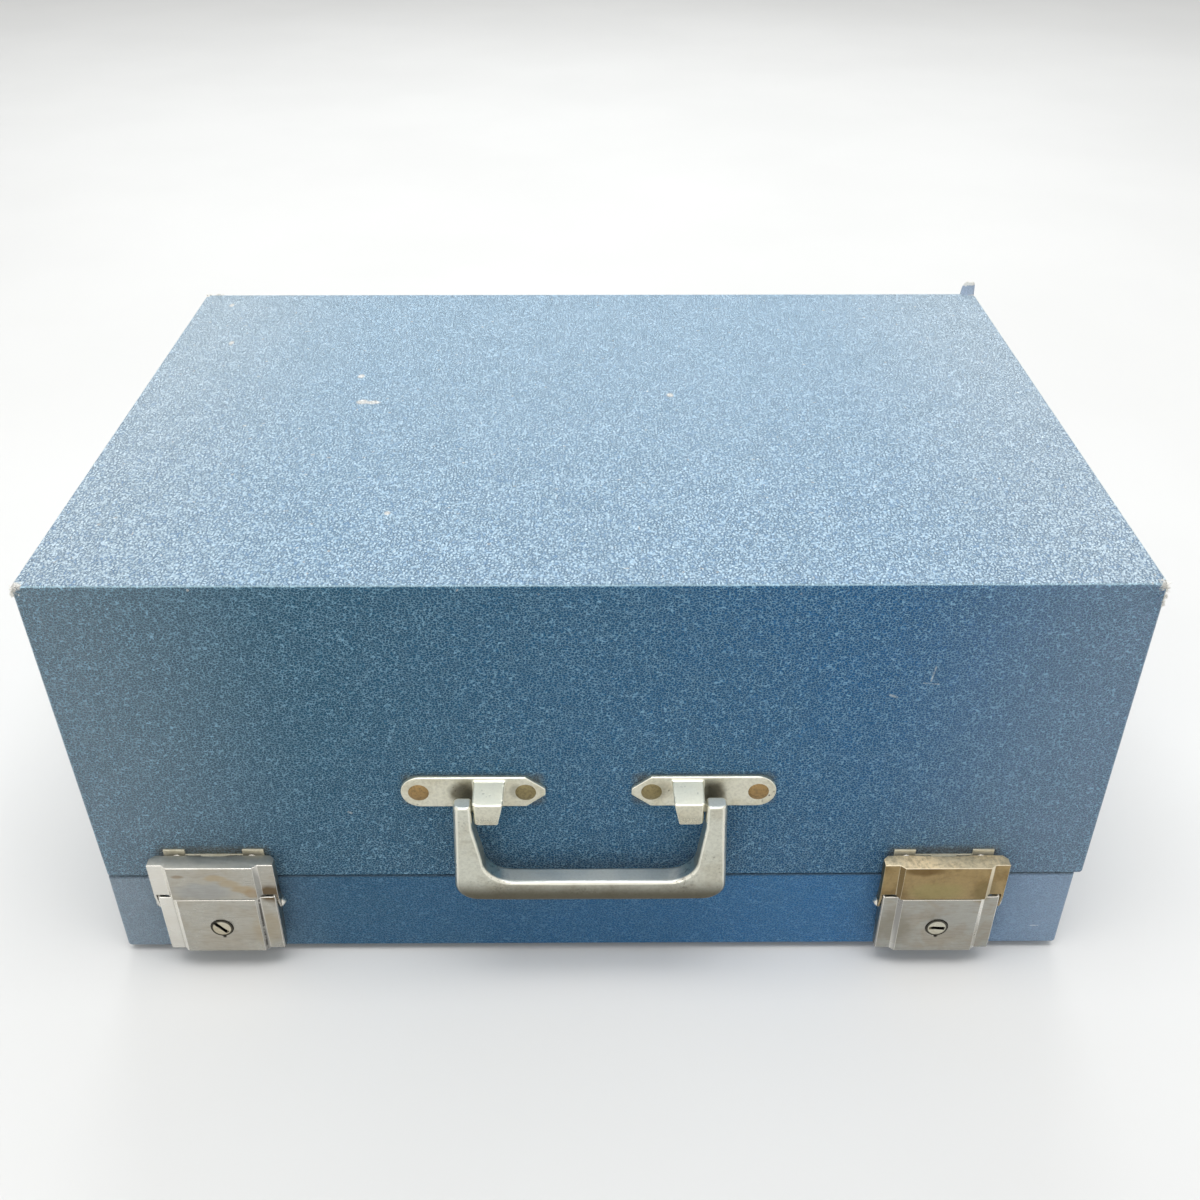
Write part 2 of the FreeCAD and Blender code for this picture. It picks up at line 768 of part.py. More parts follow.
def build_lid():
    far_below = lid_bottom - d.cut_overrun
    outer = lid_form("lid_outer", 0, lid_bottom, lid_top, [
        (d.corner_radius, upright),
        (d.edge_radius, at_height(lid_top)),
        (d.seam_edge_radius, at_height(lid_bottom)),
    ])
    wood_bottom = lid_bottom + d.cover_thickness
    wood_top = lid_top - d.cover_thickness
    wood = lid_form("lid_wood", d.cover_thickness, wood_bottom, wood_top, [
        (d.corner_radius - d.cover_thickness, upright),
        (d.edge_radius - d.cover_thickness, at_height(wood_top)),
    ])
    cavity = lid_form("lid_cavity", shell_thickness, far_below, lid_ceiling, [])
    lined = lid_form("lid_lined", lined_thickness, far_below, lid_ceiling - d.lining_thickness, [])
    shell = cut(wood, cavity, "lid_shell")

    strike_holes = drill_holes("strike_holes", d.strike_rivet_radius, strike_rivet_places)
    handle_holes = drill_holes("handle_holes", d.handle_rivet_radius, handle_rivet_places)
    front_holes = group([strike_holes, handle_holes], "lid_front_holes")
    back_holes = drill_holes("lid_back_holes", d.hinge_rivet_radius, lid_hinge_rivet_places)

    walls = wall_pieces(shell, "lid", 0, lid_ceiling)
    node(cut(walls["front"], front_holes, "lid_front_panel"), "lid_front_panel")
    node(cut(walls["back"], back_holes, "lid_back_panel"), "lid_back_panel")
    node(walls["left"], "lid_left_panel")
    node(walls["right"], "lid_right_panel")
    top_cut = slab("lid_top_cut", -d.base_width, d.base_width, -d.case_depth, d.case_depth, lid_ceiling, 2 * lid_top)
    node(common(shell, top_cut, "lid_top_panel"), "lid_top_panel")

    all_holes = group([strike_holes, handle_holes, back_holes], "lid_skin_holes")
    inside = fuse([wood, cavity], "lid_inside")
    node(cut(cut(outer, inside, "lid_skin"), all_holes, "lid_covering"), "lid_covering")

    lining_low = base_top + d.rim_height + d.rim_lining_gap
    lining_room = slab("lid_lining_room", -d.base_width, d.base_width, -d.case_depth, d.case_depth,
                       lining_low, lid_top)
    lining = common(cut(cavity, lined, "lid_lining_shell"), lining_room, "lid_lining_blank")
    node(cut(lining, all_holes, "lid_lining"), "lid_lining")


# Latches

hasp_half = d.hasp_width / 2
hasp_inner = hasp_half - d.latch_sheet
lever_half = hasp_inner - d.latch_side_gap
lever_inner = lever_half - d.latch_sheet
ear_outer = lever_inner - d.latch_side_gap
panel_depth = d.flank_depth + d.panel_rise
lever_top = -d.lever_top_drop
lever_bottom = lever_top - d.lever_length
pivot = (-d.pivot_out, -d.pivot_drop)
link = (-d.link_out, -d.link_drop)
pin_hole = d.pin_radius + d.pin_clearance
relief_radius = root((panel_depth - d.link_out) * (panel_depth - d.link_out)
                     + (d.link_drop - d.lever_top_drop) * (d.link_drop - d.lever_top_drop)) + d.relief_gap
ledge_under = d.hasp_rise - d.latch_sheet


def latch_body(latch, name):
    return body_at(f"{name}_{latch.side}", latch.x, front_face, latch.seat)


def raised_front(half_width):
    """The front edge of a latch plate seen from above, from its left flank to its right one."""
    ramp = half_width - d.flank_width
    crest = ramp - d.slope_width
    return [
        (-half_width, -d.flank_depth),
        (-ramp, -d.flank_depth),
        (-crest, -panel_depth),
        (crest, -panel_depth),
        (ramp, -d.flank_depth),
        (half_width, -d.flank_depth),
    ]


def raised_sheet(half_width):
    """The bent sheet of a latch plate seen from above."""
    front = raised_front(half_width)
    back = [(x, y + d.latch_sheet) for x, y in reversed(front)]
    return front + back


def bored(body, centres, radius, width):
    pocket(body, circles(body, "YZ_Plane", centres, radius), width, both_ways=True)


def build_latch_plate(latch):
    """The plate on the base with two ears for the lever and a keeper for the lock."""
    body = latch_body(latch, "latch_base_plate")
    top = -d.latch_plate_top_drop
    low = top - d.latch_plate_height
    sheet = d.latch_sheet
    pad(body, outline(body, "XZ_Plane", rectangle(-ear_outer, ear_outer, low, top)), sheet)
    ear_root = link[1] + d.ear_radius
    ear = pad(body, outline(body, "YZ_Plane", [
        (0, ear_root),
        (-sheet, ear_root),
        (pivot[0] - d.ear_radius, pivot[1] - d.latch_sheet),
        (pivot[0] - d.ear_radius, pivot[1]),
        (pivot[0], pivot[1]),
        (0, top),
    ], ear_outer - sheet), sheet)
    eye = pad(body, circles(body, "YZ_Plane", [pivot], d.ear_radius, ear_outer - sheet), sheet)
    mirrored(body, [ear, eye])
    cam_front = panel_depth - sheet - d.lock_case_depth - d.cam_gap
    lip_back = cam_front + d.keeper_gap
    lip_front = lip_back + d.keeper_lip_thickness
    tab_low = -d.plug_drop + d.cam_reach + d.cam_gap
    tab_high = tab_low + d.keeper_lip_thickness
    pad(body, outline(body, "YZ_Plane", [
        (0, tab_low),
        (-lip_back, tab_low),
        (-lip_back, tab_low - d.keeper_lip_height),
        (-lip_front, tab_low - d.keeper_lip_height),
        (-lip_front, tab_high),
        (0, tab_high),
    ]), d.keeper_width, both_ways=True)
    bored(body, [pivot], pin_hole, d.hasp_width)
    rows = (-d.latch_rivet_top_drop, -d.latch_rivet_top_drop - d.latch_rivet_row_gap)
    holes = [(side * d.latch_rivet_spread / 2, z) for side in (-1, 1) for z in rows]
    pocket(body, circles(body, "XZ_Plane", holes, d.latch_rivet_radius + d.rivet_clearance),
           2 * sheet, both_ways=True)
    node(body, body.Name)


def build_lever(latch):
    """The lower plate: a pan with a raised middle, two cheeks, and a hole for the lock."""
    body = latch_body(latch, "latch_lever")
    sheet = d.latch_sheet
    pad(body, outline(body, "XY_Plane", raised_sheet(lever_half), lever_bottom), d.lever_length)
    foot = raised_front(lever_half) + [(lever_half, -d.lever_foot_gap), (-lever_half, -d.lever_foot_gap)]
    pad(body, outline(body, "XY_Plane", foot, lever_bottom), sheet)
    waist = pivot[0] + d.ear_radius
    cheek = pad(body, outline(body, "YZ_Plane", [
        (-d.flank_depth, lever_bottom),
        (-d.lever_foot_gap, lever_bottom),
        (waist, link[1]),
        (waist, pivot[1]),
        (pivot[0], pivot[1]),
        (pivot[0] - d.ear_radius, pivot[1]),
        (-d.flank_depth, lever_top),
    ], lever_inner), sheet)
    eye = pad(body, circles(body, "YZ_Plane", [pivot], d.ear_radius, lever_inner), sheet)
    mirrored(body, [cheek, eye])
    bored(body, [pivot, link], pin_hole, d.hasp_width)
    notch = -d.plug_drop - d.plug_radius
    for centre, radius in ((-d.plug_drop, d.plug_radius + d.plug_clearance), (notch, d.key_notch_radius)):
        sketch = circles(body, "XZ_Plane", [(0, centre)], radius, panel_depth)
        pocket(body, sketch, 2 * sheet + d.panel_rise, both_ways=True)
    low = latch.seat + lever_bottom

    def front_corner(edge):
        box = edge.BoundBox
        outer = abs(abs(edge.CenterOfMass.x) - lever_half.value) < sheet.value / 10
        ahead = abs(edge.CenterOfMass.y + d.flank_depth.value) < sheet.value / 10
        return outer and ahead and box.ZLength > d.lever_length.value / 2
    rounded(body, d.lever_corner_radius, front_corner)
    node(body, body.Name)
    return low


def build_hasp(latch):
    """The upper plate: it hangs on the lever by two long cheeks and ends in a scalloped ledge."""
    body = latch_body(latch, "latch_hasp")
    sheet = d.latch_sheet
    pad(body, outline(body, "XY_Plane", raised_sheet(hasp_half), lever_top), d.hasp_rise - lever_top)
    bored(body, [link], relief_radius, 2 * hasp_half)
    half_scallop = d.scallop_width / 2
    arc = (half_scallop * half_scallop + d.scallop_depth * d.scallop_depth) / (2 * d.scallop_depth)
    ledge = raised_front(hasp_half) + [
        (hasp_half, -d.horn_gap - d.ledge_corner_cut),
        (hasp_half - d.ledge_corner_cut, -d.horn_gap),
        (half_scallop, -d.horn_gap),
        (-half_scallop, -d.horn_gap, arc, -1),
        (-hasp_half + d.ledge_corner_cut, -d.horn_gap),
        (-hasp_half, -d.horn_gap - d.ledge_corner_cut),
    ]
    pad(body, outline(body, "XY_Plane", ledge, ledge_under), sheet)
    cheek_back = -d.horn_gap - d.ledge_corner_cut
    cheek = pad(body, outline(body, "YZ_Plane", [
        (-d.flank_depth, ledge_under),
        (-d.flank_depth, lever_top),
        (link[0] - d.ear_radius, link[1]),
        (link[0], link[1]),
        (link[0] + d.ear_radius, link[1]),
        (cheek_back, lever_top),
        (cheek_back, ledge_under),
    ], hasp_inner), sheet)
    eye = pad(body, circles(body, "YZ_Plane", [link], d.ear_radius, hasp_inner), sheet)
    mirrored(body, [cheek, eye])
    bored(body, [link], pin_hole, 2 * d.hasp_width)
    node(body, body.Name)


def build_headed_pin():
    """A pin through the right cheeks: peened inside the lever and domed outside the hasp."""
    body = body_at("latch_headed_pin", 0, 0, 0)
    inner_end = lever_inner - d.pin_peen_height
    head_start = hasp_half + d.pin_head_gap
    dome = (d.pin_head_radius * d.pin_head_radius + d.pin_head_height * d.pin_head_height) / (2 * d.pin_head_height)
    turned(body, outline(body, "XY_Plane", [
        (inner_end, 0),
        (head_start + d.pin_head_height, 0),
        (head_start, d.pin_head_radius, dome, 1),
        (head_start, d.pin_radius),
        (lever_inner, d.pin_radius),
        (lever_inner, d.pin_peen_radius),
        (inner_end, d.pin_peen_radius),
    ]), "X_Axis")
    return body


def build_latch_pins(latch, headed_pin):
    """The long pin that the lever turns on, and the two headed pins that carry the hasp."""
    pivot_pin = rod(f"latch_pivot_pin_{latch.side}", d.pin_radius, 2 * lever_half,
                    latch.x - lever_half, front_face + pivot[0], latch.seat + pivot[1], "X")
    node(pivot_pin, pivot_pin.Name)
    seat = [(latch.x, front_face + link[0], latch.seat + link[1])]
    right_pin = links_at(headed_pin, seat, f"latch_hinge_pin_{latch.side}_right")
    left_pin = links_at(headed_pin, seat, f"latch_hinge_pin_{latch.side}_left", half_turn=True)
    pair = group(right_pin + left_pin, f"latch_hinge_pins_{latch.side}")
    node(pair, pair.Name)


def build_lock(latch, turn):
    """The lock's case behind the lever, its plug with a key slot, and its cam."""
    height = latch.seat - d.plug_drop
    behind = -(panel_depth - d.latch_sheet)
    case = body_at(f"lock_case_{latch.side}", latch.x, front_face, height)
    half_high = d.lock_case_height / 2
    case_rect = rectangle(-d.lock_case_width / 2, d.lock_case_width / 2, -half_high, half_high)
    pad(case, outline(case, "XZ_Plane", case_rect, -behind - d.lock_case_depth), d.lock_case_depth)
    room = d.lock_case_depth - d.lock_case_wall
    pocket(case, circles(case, "XZ_Plane", [(0, 0)], d.plug_flange_radius + d.plug_clearance, -behind), room)
    pocket(case, circles(case, "XZ_Plane", [(0, 0)], d.plug_stem_radius + d.plug_clearance, -behind),
           2 * d.lock_case_depth)
    node(case, case.Name)

    flange_front = behind + d.plug_clearance
    flange_back = flange_front + d.plug_flange_thickness
    cam_front = behind + d.lock_case_depth + d.cam_gap
    cam_back = cam_front + d.cam_thickness
    plug = body_at(f"lock_plug_{latch.side}", latch.x, front_face, height)
    turned(plug, outline(plug, "XY_Plane", [
        (0, -panel_depth - d.plug_proud),
        (d.plug_radius, -panel_depth - d.plug_proud),
        (d.plug_radius, flange_front),
        (d.plug_flange_radius, flange_front),
        (d.plug_flange_radius, flange_back),
        (d.plug_stem_radius, flange_back),
        (d.plug_stem_radius, cam_front),
        (d.plug_neck_radius, cam_front),
        (d.plug_neck_radius, cam_back),
        (d.plug_peen_radius, cam_back),
        (d.plug_peen_radius, cam_back + d.plug_peen_height),
        (0, cam_back + d.plug_peen_height),
    ]))
    slot = rectangle(-d.key_slot_length / 2, d.key_slot_length / 2, -d.key_slot_width / 2, d.key_slot_width / 2)
    pocket(plug, outline(plug, "XZ_Plane", slot, panel_depth + d.plug_proud), d.key_slot_depth)
    node(plug, plug.Name)

    cam = body_at(f"lock_cam_{latch.side}", latch.x, front_face, height)
    pad(cam, circles(cam, "XZ_Plane", [(0, 0)], d.cam_hub_radius, -cam_back), d.cam_thickness)
    tail = rectangle(-d.cam_reach, 0, -d.cam_width / 2, d.cam_width / 2)
    pad(cam, outline(cam, "XZ_Plane", tail, -cam_back), d.cam_thickness)
    pocket(cam, circles(cam, "XZ_Plane", [(0, 0)], d.plug_neck_radius + d.pin_clearance, -cam_back),
           2 * d.cam_thickness, both_ways=True)
    node(cam, cam.Name)
    turn_about_y = FreeCAD.Rotation(FreeCAD.Vector(0, 1, 0), turn)
    for piece in (plug, cam):
        piece.Placement.Rotation = turn_about_y


def build_strike(latch):
    """The strike on the lid: two tabs that show above the hasp and a lip between them."""
    body = latch_body(latch, "strike_plate")
    half = d.strike_width / 2
    lip_top = ledge_under - d.strike_lip_gap
    tab_top = d.hasp_rise + d.strike_tab_show
    tab_in = half - d.strike_tab_width
    pad(body, outline(body, "XZ_Plane", [
        (-half, d.strike_bottom_rise),
        (half, d.strike_bottom_rise),
        (half, tab_top),
        (tab_in, tab_top),
        (tab_in, lip_top),
        (-tab_in, lip_top),
        (-tab_in, tab_top),
        (-half, tab_top),
    ]), d.strike_thickness)
    lip_half = d.strike_lip_width / 2
    lip = rectangle(-lip_half, lip_half, -d.strike_lip_reach, 0)
    pad(body, outline(body, "XY_Plane", lip, lip_top - d.strike_lip_thickness), d.strike_lip_thickness)
    holes = [(side * d.strike_rivet_spread / 2, d.strike_rivet_rise) for side in (-1, 1)]
    pocket(body, circles(body, "XZ_Plane", holes, d.strike_rivet_radius + d.rivet_clearance),
           2 * d.strike_thickness, both_ways=True)
    node(body, body.Name)


def build_latches():
    headed_pin = build_headed_pin()
    for latch, turn in ((left_latch, LEFT_LOCK_TURN), (right_latch, 0)):
        build_latch_plate(latch)
        build_lever(latch)
        build_hasp(latch)
        build_latch_pins(latch, headed_pin)
        build_lock(latch, turn)
        build_strike(latch)
    plate_rivet = rivet("latch_rivet", d.latch_rivet_head_radius, d.latch_rivet_head_height,
                        d.latch_rivet_radius, lined_thickness + d.latch_sheet, d.latch_clinch_radius)
    seats = [(x, y - d.latch_sheet, z) for x, y, z in latch_rivet_places]
    node(copies(plate_rivet, seats, "latch_plate_rivets"), "latch_plate_rivets")
    small_rivet = rivet("strike_rivet", d.strike_rivet_head_radius, d.strike_rivet_head_height,
                        d.strike_rivet_radius, lined_thickness + d.strike_thickness, d.strike_clinch_radius)
    seats = [(x, y - d.strike_thickness, z) for x, y, z in strike_rivet_places]
    node(copies(small_rivet, seats, "strike_rivets"), "strike_rivets")


# Handle


def build_handle_plate(side, way):
    """A plate with a round outer end and a blunt pointed inner one, and a lug for the bail."""
    body = body_at(f"handle_plate_{side}", d.handle_place, front_face, handle_height)
    half = d.handle_plate_height / 2
    tip = d.handle_tip_height / 2
    round_centre = d.handle_end_place - half
    pad(body, outline(body, "XZ_Plane", [
        (way * d.handle_tip_place, -tip),
        (way * d.handle_shoulder_place, -half),
        (way * round_centre, -half),
        (way * d.handle_end_place, 0, half, way),
        (way * round_centre, half, half, way),
        (way * d.handle_shoulder_place, half),
        (way * d.handle_tip_place, tip),
    ]), d.handle_plate_thickness)
    lug_start = d.lug_inner_place if way > 0 else -d.lug_outer_place
    lug_width = d.lug_outer_place - d.lug_inner_place
    pad(body, outline(body, "YZ_Plane", [
        (0, d.lug_top_rise),
        (-d.handle_plate_thickness, d.lug_top_rise),
        (-d.lug_ridge_out, d.lug_ridge_rise),
        (-d.lug_chin_out, -d.lug_chin_drop),
        (0, -half),
    ], lug_start), lug_width)

    def lug_corner(edge):
        box = edge.BoundBox
        flat = box.XLength < d.latch_sheet.value / 10
        ahead = box.YMax < (d.handle_plate_thickness - d.lug_chin_out).value
        return flat and ahead and box.ZLength > d.lug_chin_drop.value
    rounded(body, d.lug_corner_radius, lug_corner)
    wedge = [
        (way * d.lug_inner_place, d.lug_top_rise),
        (way * d.lug_inner_place, -half - d.lug_inner_taper),
        (way * (d.lug_inner_place + d.lug_inner_taper), -half - d.lug_inner_taper),
        (way * (d.lug_inner_place + d.lug_inner_taper), -half),
    ]
    pocket(body, outline(body, "XZ_Plane", wedge, d.handle_plate_thickness), d.lug_ridge_out, backwards=True)
    bore = circles(body, "YZ_Plane", [(-d.bail_pivot_out, -d.bail_pivot_drop)],
                   d.tenon_radius + d.tenon_clearance, way * d.lug_outer_place)
    pocket(body, bore, d.tenon_depth, backwards=way < 0)
    rivets = [(way * d.handle_inner_rivet_place, 0), (way * d.handle_outer_rivet_place, 0)]
    pocket(body, circles(body, "XZ_Plane", rivets, d.handle_rivet_radius + d.rivet_clearance),
           3 * d.handle_plate_thickness, both_ways=True)
    node(body, body.Name)


def build_bail():
    """The swinging handle: arms that widen towards the grip and end in tenons that turn in the lugs."""
    body = body_at("handle_bail", d.handle_place + d.bail_shift, front_face, handle_height - d.bail_pivot_drop)
    top = d.bail_top_rise
    low = -d.bail_drop
    hand = low + d.bail_grip_height
    arm_in = d.lug_outer_place + d.bail_side_gap
    arm_out = arm_in + d.bail_arm_width
    outside = arm_out + d.bail_outer_flare
    inside = arm_in - d.bail_inner_taper
    outer, inner = d.bail_outer_radius, d.bail_inner_radius
    pad(body, outline(body, "XZ_Plane", [
        (-arm_out, top),
        (-outside, low + d.bail_outer_rise),
        (-outside + d.bail_outer_run, low, outer, 1),
        (outside - d.bail_outer_run, low),
        (outside, low + d.bail_outer_rise, outer, 1),
        (arm_out, top),
        (arm_in, top),
        (arm_in, -d.bail_straight_drop),
        (inside, hand + d.bail_inner_rise),
        (inside - d.bail_inner_run, hand, inner, -1),
        (-inside + d.bail_inner_run, hand),
        (-inside, hand + d.bail_inner_rise, inner, -1),
        (-arm_in, -d.bail_straight_drop),
        (-arm_in, top),
    ], d.bail_pivot_out), d.bail_depth, both_ways=True)
    tiny = d.bail_depth.value / 100

    def long_edge(edge):
        box = edge.BoundBox
        return box.YLength < tiny or box.ZMin > top.value - tiny
    rounded(body, d.bail_edge_radius, long_edge)
    tenon = pad(body, circles(body, "YZ_Plane", [(-d.bail_pivot_out, 0)], d.tenon_radius,
                              arm_in - d.tenon_length), d.tenon_length + d.bail_edge_radius)
    mirrored(body, [tenon])
    node(body, "handle_bail")


def build_handle():
    build_handle_plate("left", -1)
    build_handle_plate("right", 1)
    build_bail()
    grip = lined_thickness + d.handle_plate_thickness + d.washer_thickness
    master = rivet("handle_rivet", d.handle_rivet_head_radius, d.handle_rivet_head_height,
                   d.handle_rivet_radius, grip, d.handle_clinch_radius)
    seats = [(x, y - d.handle_plate_thickness, z) for x, y, z in handle_rivet_places]
    node(copies(master, seats, "handle_rivets"), "handle_rivets")
    disc = rod("washer_disc", d.washer_radius, d.washer_thickness, 0, 0, 0, "Y")
    hole = rod("washer_hole", d.handle_rivet_radius + d.rivet_clearance, 2 * d.washer_thickness, 0, 0, 0, "Y")
    washer = cut(disc, hole, "washer")
    seats = [(x, y + lined_thickness, z) for x, y, z in handle_rivet_places]
    node(copies(washer, seats, "handle_washers"), "handle_washers")


# Hinges

knuckle_out = d.hinge_back_gap + d.hinge_knuckle_radius
knuckle = (knuckle_out, 0)


def hinge_leaf(name, x, way):
    """One leaf: way is -1 for the base's leaf with the two outer knuckles, 1 for the lid's."""
    body = body_at(name, x, back_face, hinge_height)
    half = d.hinge_width / 2
    middle = d.hinge_middle_width / 2
    notch = d.hinge_knuckle_radius + d.hinge_back_gap
    high = way * d.hinge_leaf_height
    if way < 0:
        edge = [(half, 0), (middle + d.hinge_knuckle_gap, 0), (middle + d.hinge_knuckle_gap, -notch),
                (-middle - d.hinge_knuckle_gap, -notch), (-middle - d.hinge_knuckle_gap, 0), (-half, 0)]
    else:
        edge = [(half, notch), (middle, notch), (middle, 0), (-middle, 0), (-middle, notch), (-half, notch)]
    leaf = [(-half, high), (half, high)] + edge
    pad(body, outline(body, "XZ_Plane", leaf), d.hinge_leaf_thickness, backwards=True)
    if way < 0:
        start = middle + d.hinge_knuckle_gap
        outer = pad(body, circles(body, "YZ_Plane", [knuckle], d.hinge_knuckle_radius, start), half - start)
        mirrored(body, [outer])
    else:
        pad(body, circles(body, "YZ_Plane", [knuckle], d.hinge_knuckle_radius), d.hinge_middle_width, both_ways=True)
    bored(body, [knuckle], d.hinge_pin_radius + d.hinge_pin_clearance, 2 * d.hinge_width)
    holes = [(offset, way * d.hinge_rivet_drop) for offset in hinge_offsets]
    pocket(body, circles(body, "XZ_Plane", holes, d.hinge_rivet_radius + d.rivet_clearance),
           3 * d.hinge_leaf_thickness, both_ways=True)
    node(body, name)


def build_hinge_pin(name, x):
    length = d.hinge_width + 2 * d.hinge_knuckle_gap
    start = x - length / 2
    y = back_face + knuckle_out
    shaft = rod(name + "_shaft", d.hinge_pin_radius, length, start, y, hinge_height, "X")
    near = rod(name + "_near_end", d.hinge_peen_radius, d.hinge_peen_height,
               start - d.hinge_peen_height, y, hinge_height, "X")
    far = rod(name + "_far_end", d.hinge_peen_radius, d.hinge_peen_height,
              start + length, y, hinge_height, "X")
    node(fuse([shaft, near, far], name), name)


def build_hinges():
    for side, x in zip(("left", "right"), hinge_places):
        hinge_leaf(f"hinge_base_leaf_{side}", x, -1)
        hinge_leaf(f"hinge_lid_leaf_{side}", x, 1)
        build_hinge_pin(f"hinge_pin_{side}", x)
    master = rivet("hinge_rivet", d.hinge_rivet_head_radius, d.hinge_rivet_head_height,
                   d.hinge_rivet_radius, lined_thickness + d.hinge_leaf_thickness, d.hinge_clinch_radius)
    for label, places in (("hinge_base_rivets", base_hinge_rivet_places), ("hinge_lid_rivets", lid_hinge_rivet_places)):
        seats = [(x, y + d.hinge_leaf_thickness, z) for x, y, z in places]
        node(copies(master, seats, label, half_turn=True), label)


# What holds the machine in the base


def build_pads():
    """Four rubber rests, each held down by a sunk screw."""
    cone = doc.addObject("Part::Cone", "rest_pad_cone")
    bind(cone, "Radius1", d.pad_radius)
    bind(cone, "Radius2", d.pad_top_radius)
    bind(cone, "Height", d.pad_height)
    sink = d.pad_height - d.pad_screw_sink
    sunk = rod("rest_pad_sink", d.pad_screw_head_radius + 3 * d.rivet_clearance, d.pad_height, 0, 0, sink)
    hole = rod("rest_pad_hole", d.pad_screw_radius + 3 * d.rivet_clearance, d.pad_height, 0, 0, 0)
    rest = cut(cone, fuse([sunk, hole], "rest_pad_bore"), "rest_pad")
    node(copies(rest, pad_places, "rest_pads"), "rest_pads")
    head = rod("pad_screw_head", d.pad_screw_head_radius, d.pad_screw_head_height, 0, 0, sink)
    shank = rod("pad_screw_shank", d.pad_screw_radius, sink + d.pad_screw_bite, 0, 0, -d.pad_screw_bite)
    screw = fuse([head, shank], "pad_screw")
    node(copies(screw, pad_places, "pad_screws"), "pad_screws")


def build_hold_downs():
    """Two wood blocks behind the front rim, each with a turning clip under a screw."""
    blocks = []
    screws = []
    for side, way in (("left", -1), ("right", 1)):
        x = way * (half_base - d.block_side_inset)
        block = slab(f"hold_down_block_{side}", x - d.block_length / 2, x + d.block_length / 2,
                     block_front, block_front + d.block_width, tray_floor, block_top)
        hole = rod(f"clip_screw_hole_{side}", d.clip_screw_radius + d.clip_screw_clearance,
                   2 * d.clip_screw_bite, x, clip_y, block_top - d.clip_screw_bite - d.clip_screw_clearance)
        blocks.append(cut(block, hole, f"hold_down_block_{side}_bored"))

        clip = body_at(f"hold_down_clip_{side}", x, clip_y, block_top + d.clip_seat_gap)
        half = d.clip_width / 2
        strap = [
            (way * half, -half),
            (way * half, half),
            (-way * (d.clip_length - half), half),
            (-way * (d.clip_length - half), -half),
        ]
        pad(clip, outline(clip, "XY_Plane", strap), d.clip_thickness)
        nose = [
            (-way * (d.clip_length - half - d.clip_thickness), -half),
            (-way * (d.clip_length - half - d.clip_thickness), half),
            (-way * (d.clip_length - half), half),
            (-way * (d.clip_length - half), -half),
        ]
        pad(clip, outline(clip, "XY_Plane", nose, -d.clip_nose_drop), d.clip_nose_drop)
        pocket(clip, circles(clip, "XY_Plane", [(0, 0)], d.clip_screw_radius + d.clip_screw_clearance),
               3 * d.clip_thickness, both_ways=True)
        node(clip, f"hold_down_clip_{side}")

        head_low = block_top + d.clip_thickness + 2 * d.clip_seat_gap
        head = rod(f"clip_screw_head_{side}", d.clip_screw_head_radius, d.clip_screw_head_height, x, clip_y, head_low)
        shank = rod(f"clip_screw_shank_{side}", d.clip_screw_radius,
                    d.clip_screw_bite + d.clip_thickness + 2 * d.clip_seat_gap,
                    x, clip_y, block_top - d.clip_screw_bite)
        screws.append(fuse([head, shank], f"clip_screw_{side}"))
    node(group(blocks, "hold_down_blocks"), "hold_down_blocks")
    node(group(screws, "hold_down_screws"), "hold_down_screws")


def check_document():
    """Stops if a feature failed or a sub-part has no sound shape."""
    failed = [item.Name for item in doc.Objects if {"Invalid", "Error"} & set(item.State)]
    if failed:
        raise RuntimeError("failed features: " + ", ".join(failed))
    for item in nodes:
        if item.Shape.isNull() or not item.Shape.isValid() or not item.Shape.Solids:
            raise RuntimeError("unsound shape: " + item.Label)


def main():
    build_base()
    build_rim()
    build_feet()
    build_lid()
    build_latches()
    build_handle()
    build_hinges()
    build_pads()
    build_hold_downs()
    doc.recompute()
    check_document()
    os.makedirs("parts", exist_ok=True)
    for item in nodes:
        item.Shape.exportStep(f"parts/{item.Label}.step")
    print(len(nodes), "sub-parts written")


main()
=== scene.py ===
"""Finishes, wear and lighting for the portable typewriter case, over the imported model."""
import json
import math
import random
from collections import namedtuple

import bmesh
import bpy
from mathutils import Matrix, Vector


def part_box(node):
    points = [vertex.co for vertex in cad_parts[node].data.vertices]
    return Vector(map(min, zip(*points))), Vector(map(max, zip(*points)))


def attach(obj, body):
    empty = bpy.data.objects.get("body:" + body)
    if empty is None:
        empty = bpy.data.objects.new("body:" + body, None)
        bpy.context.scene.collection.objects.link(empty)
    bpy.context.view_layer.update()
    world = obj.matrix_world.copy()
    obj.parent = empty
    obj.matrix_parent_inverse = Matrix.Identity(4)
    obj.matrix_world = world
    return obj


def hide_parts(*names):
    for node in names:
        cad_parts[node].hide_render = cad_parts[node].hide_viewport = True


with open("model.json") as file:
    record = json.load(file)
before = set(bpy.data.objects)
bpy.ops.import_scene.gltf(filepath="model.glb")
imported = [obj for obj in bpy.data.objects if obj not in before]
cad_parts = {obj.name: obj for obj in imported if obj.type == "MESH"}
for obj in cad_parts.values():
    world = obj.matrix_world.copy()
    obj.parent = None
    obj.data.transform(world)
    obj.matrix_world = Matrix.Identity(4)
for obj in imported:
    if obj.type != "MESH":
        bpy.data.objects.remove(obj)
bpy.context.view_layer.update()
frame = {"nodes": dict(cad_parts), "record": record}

MM = 0.001
nodes = frame["nodes"]
bodies = frame["record"]["behaviour"]["bodies"]
body_of_node = {name: body for body, names in bodies.items() for name in names}

lid_low, lid_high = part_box("lid_covering")
base_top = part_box("base_covering")[1].z
front_face = lid_low.y
middle_depth = (lid_low.y + lid_high.y) / 2
seam_height = (base_top + lid_low.z) / 2

SIDES = ("left", "right")

# From a handle plate's inner end to the middle of its lug, and the radius of a lock plug's front
LUG_PLACE = 21 * MM
PLUG_FACE = 4.4 * MM


# Shader nodes


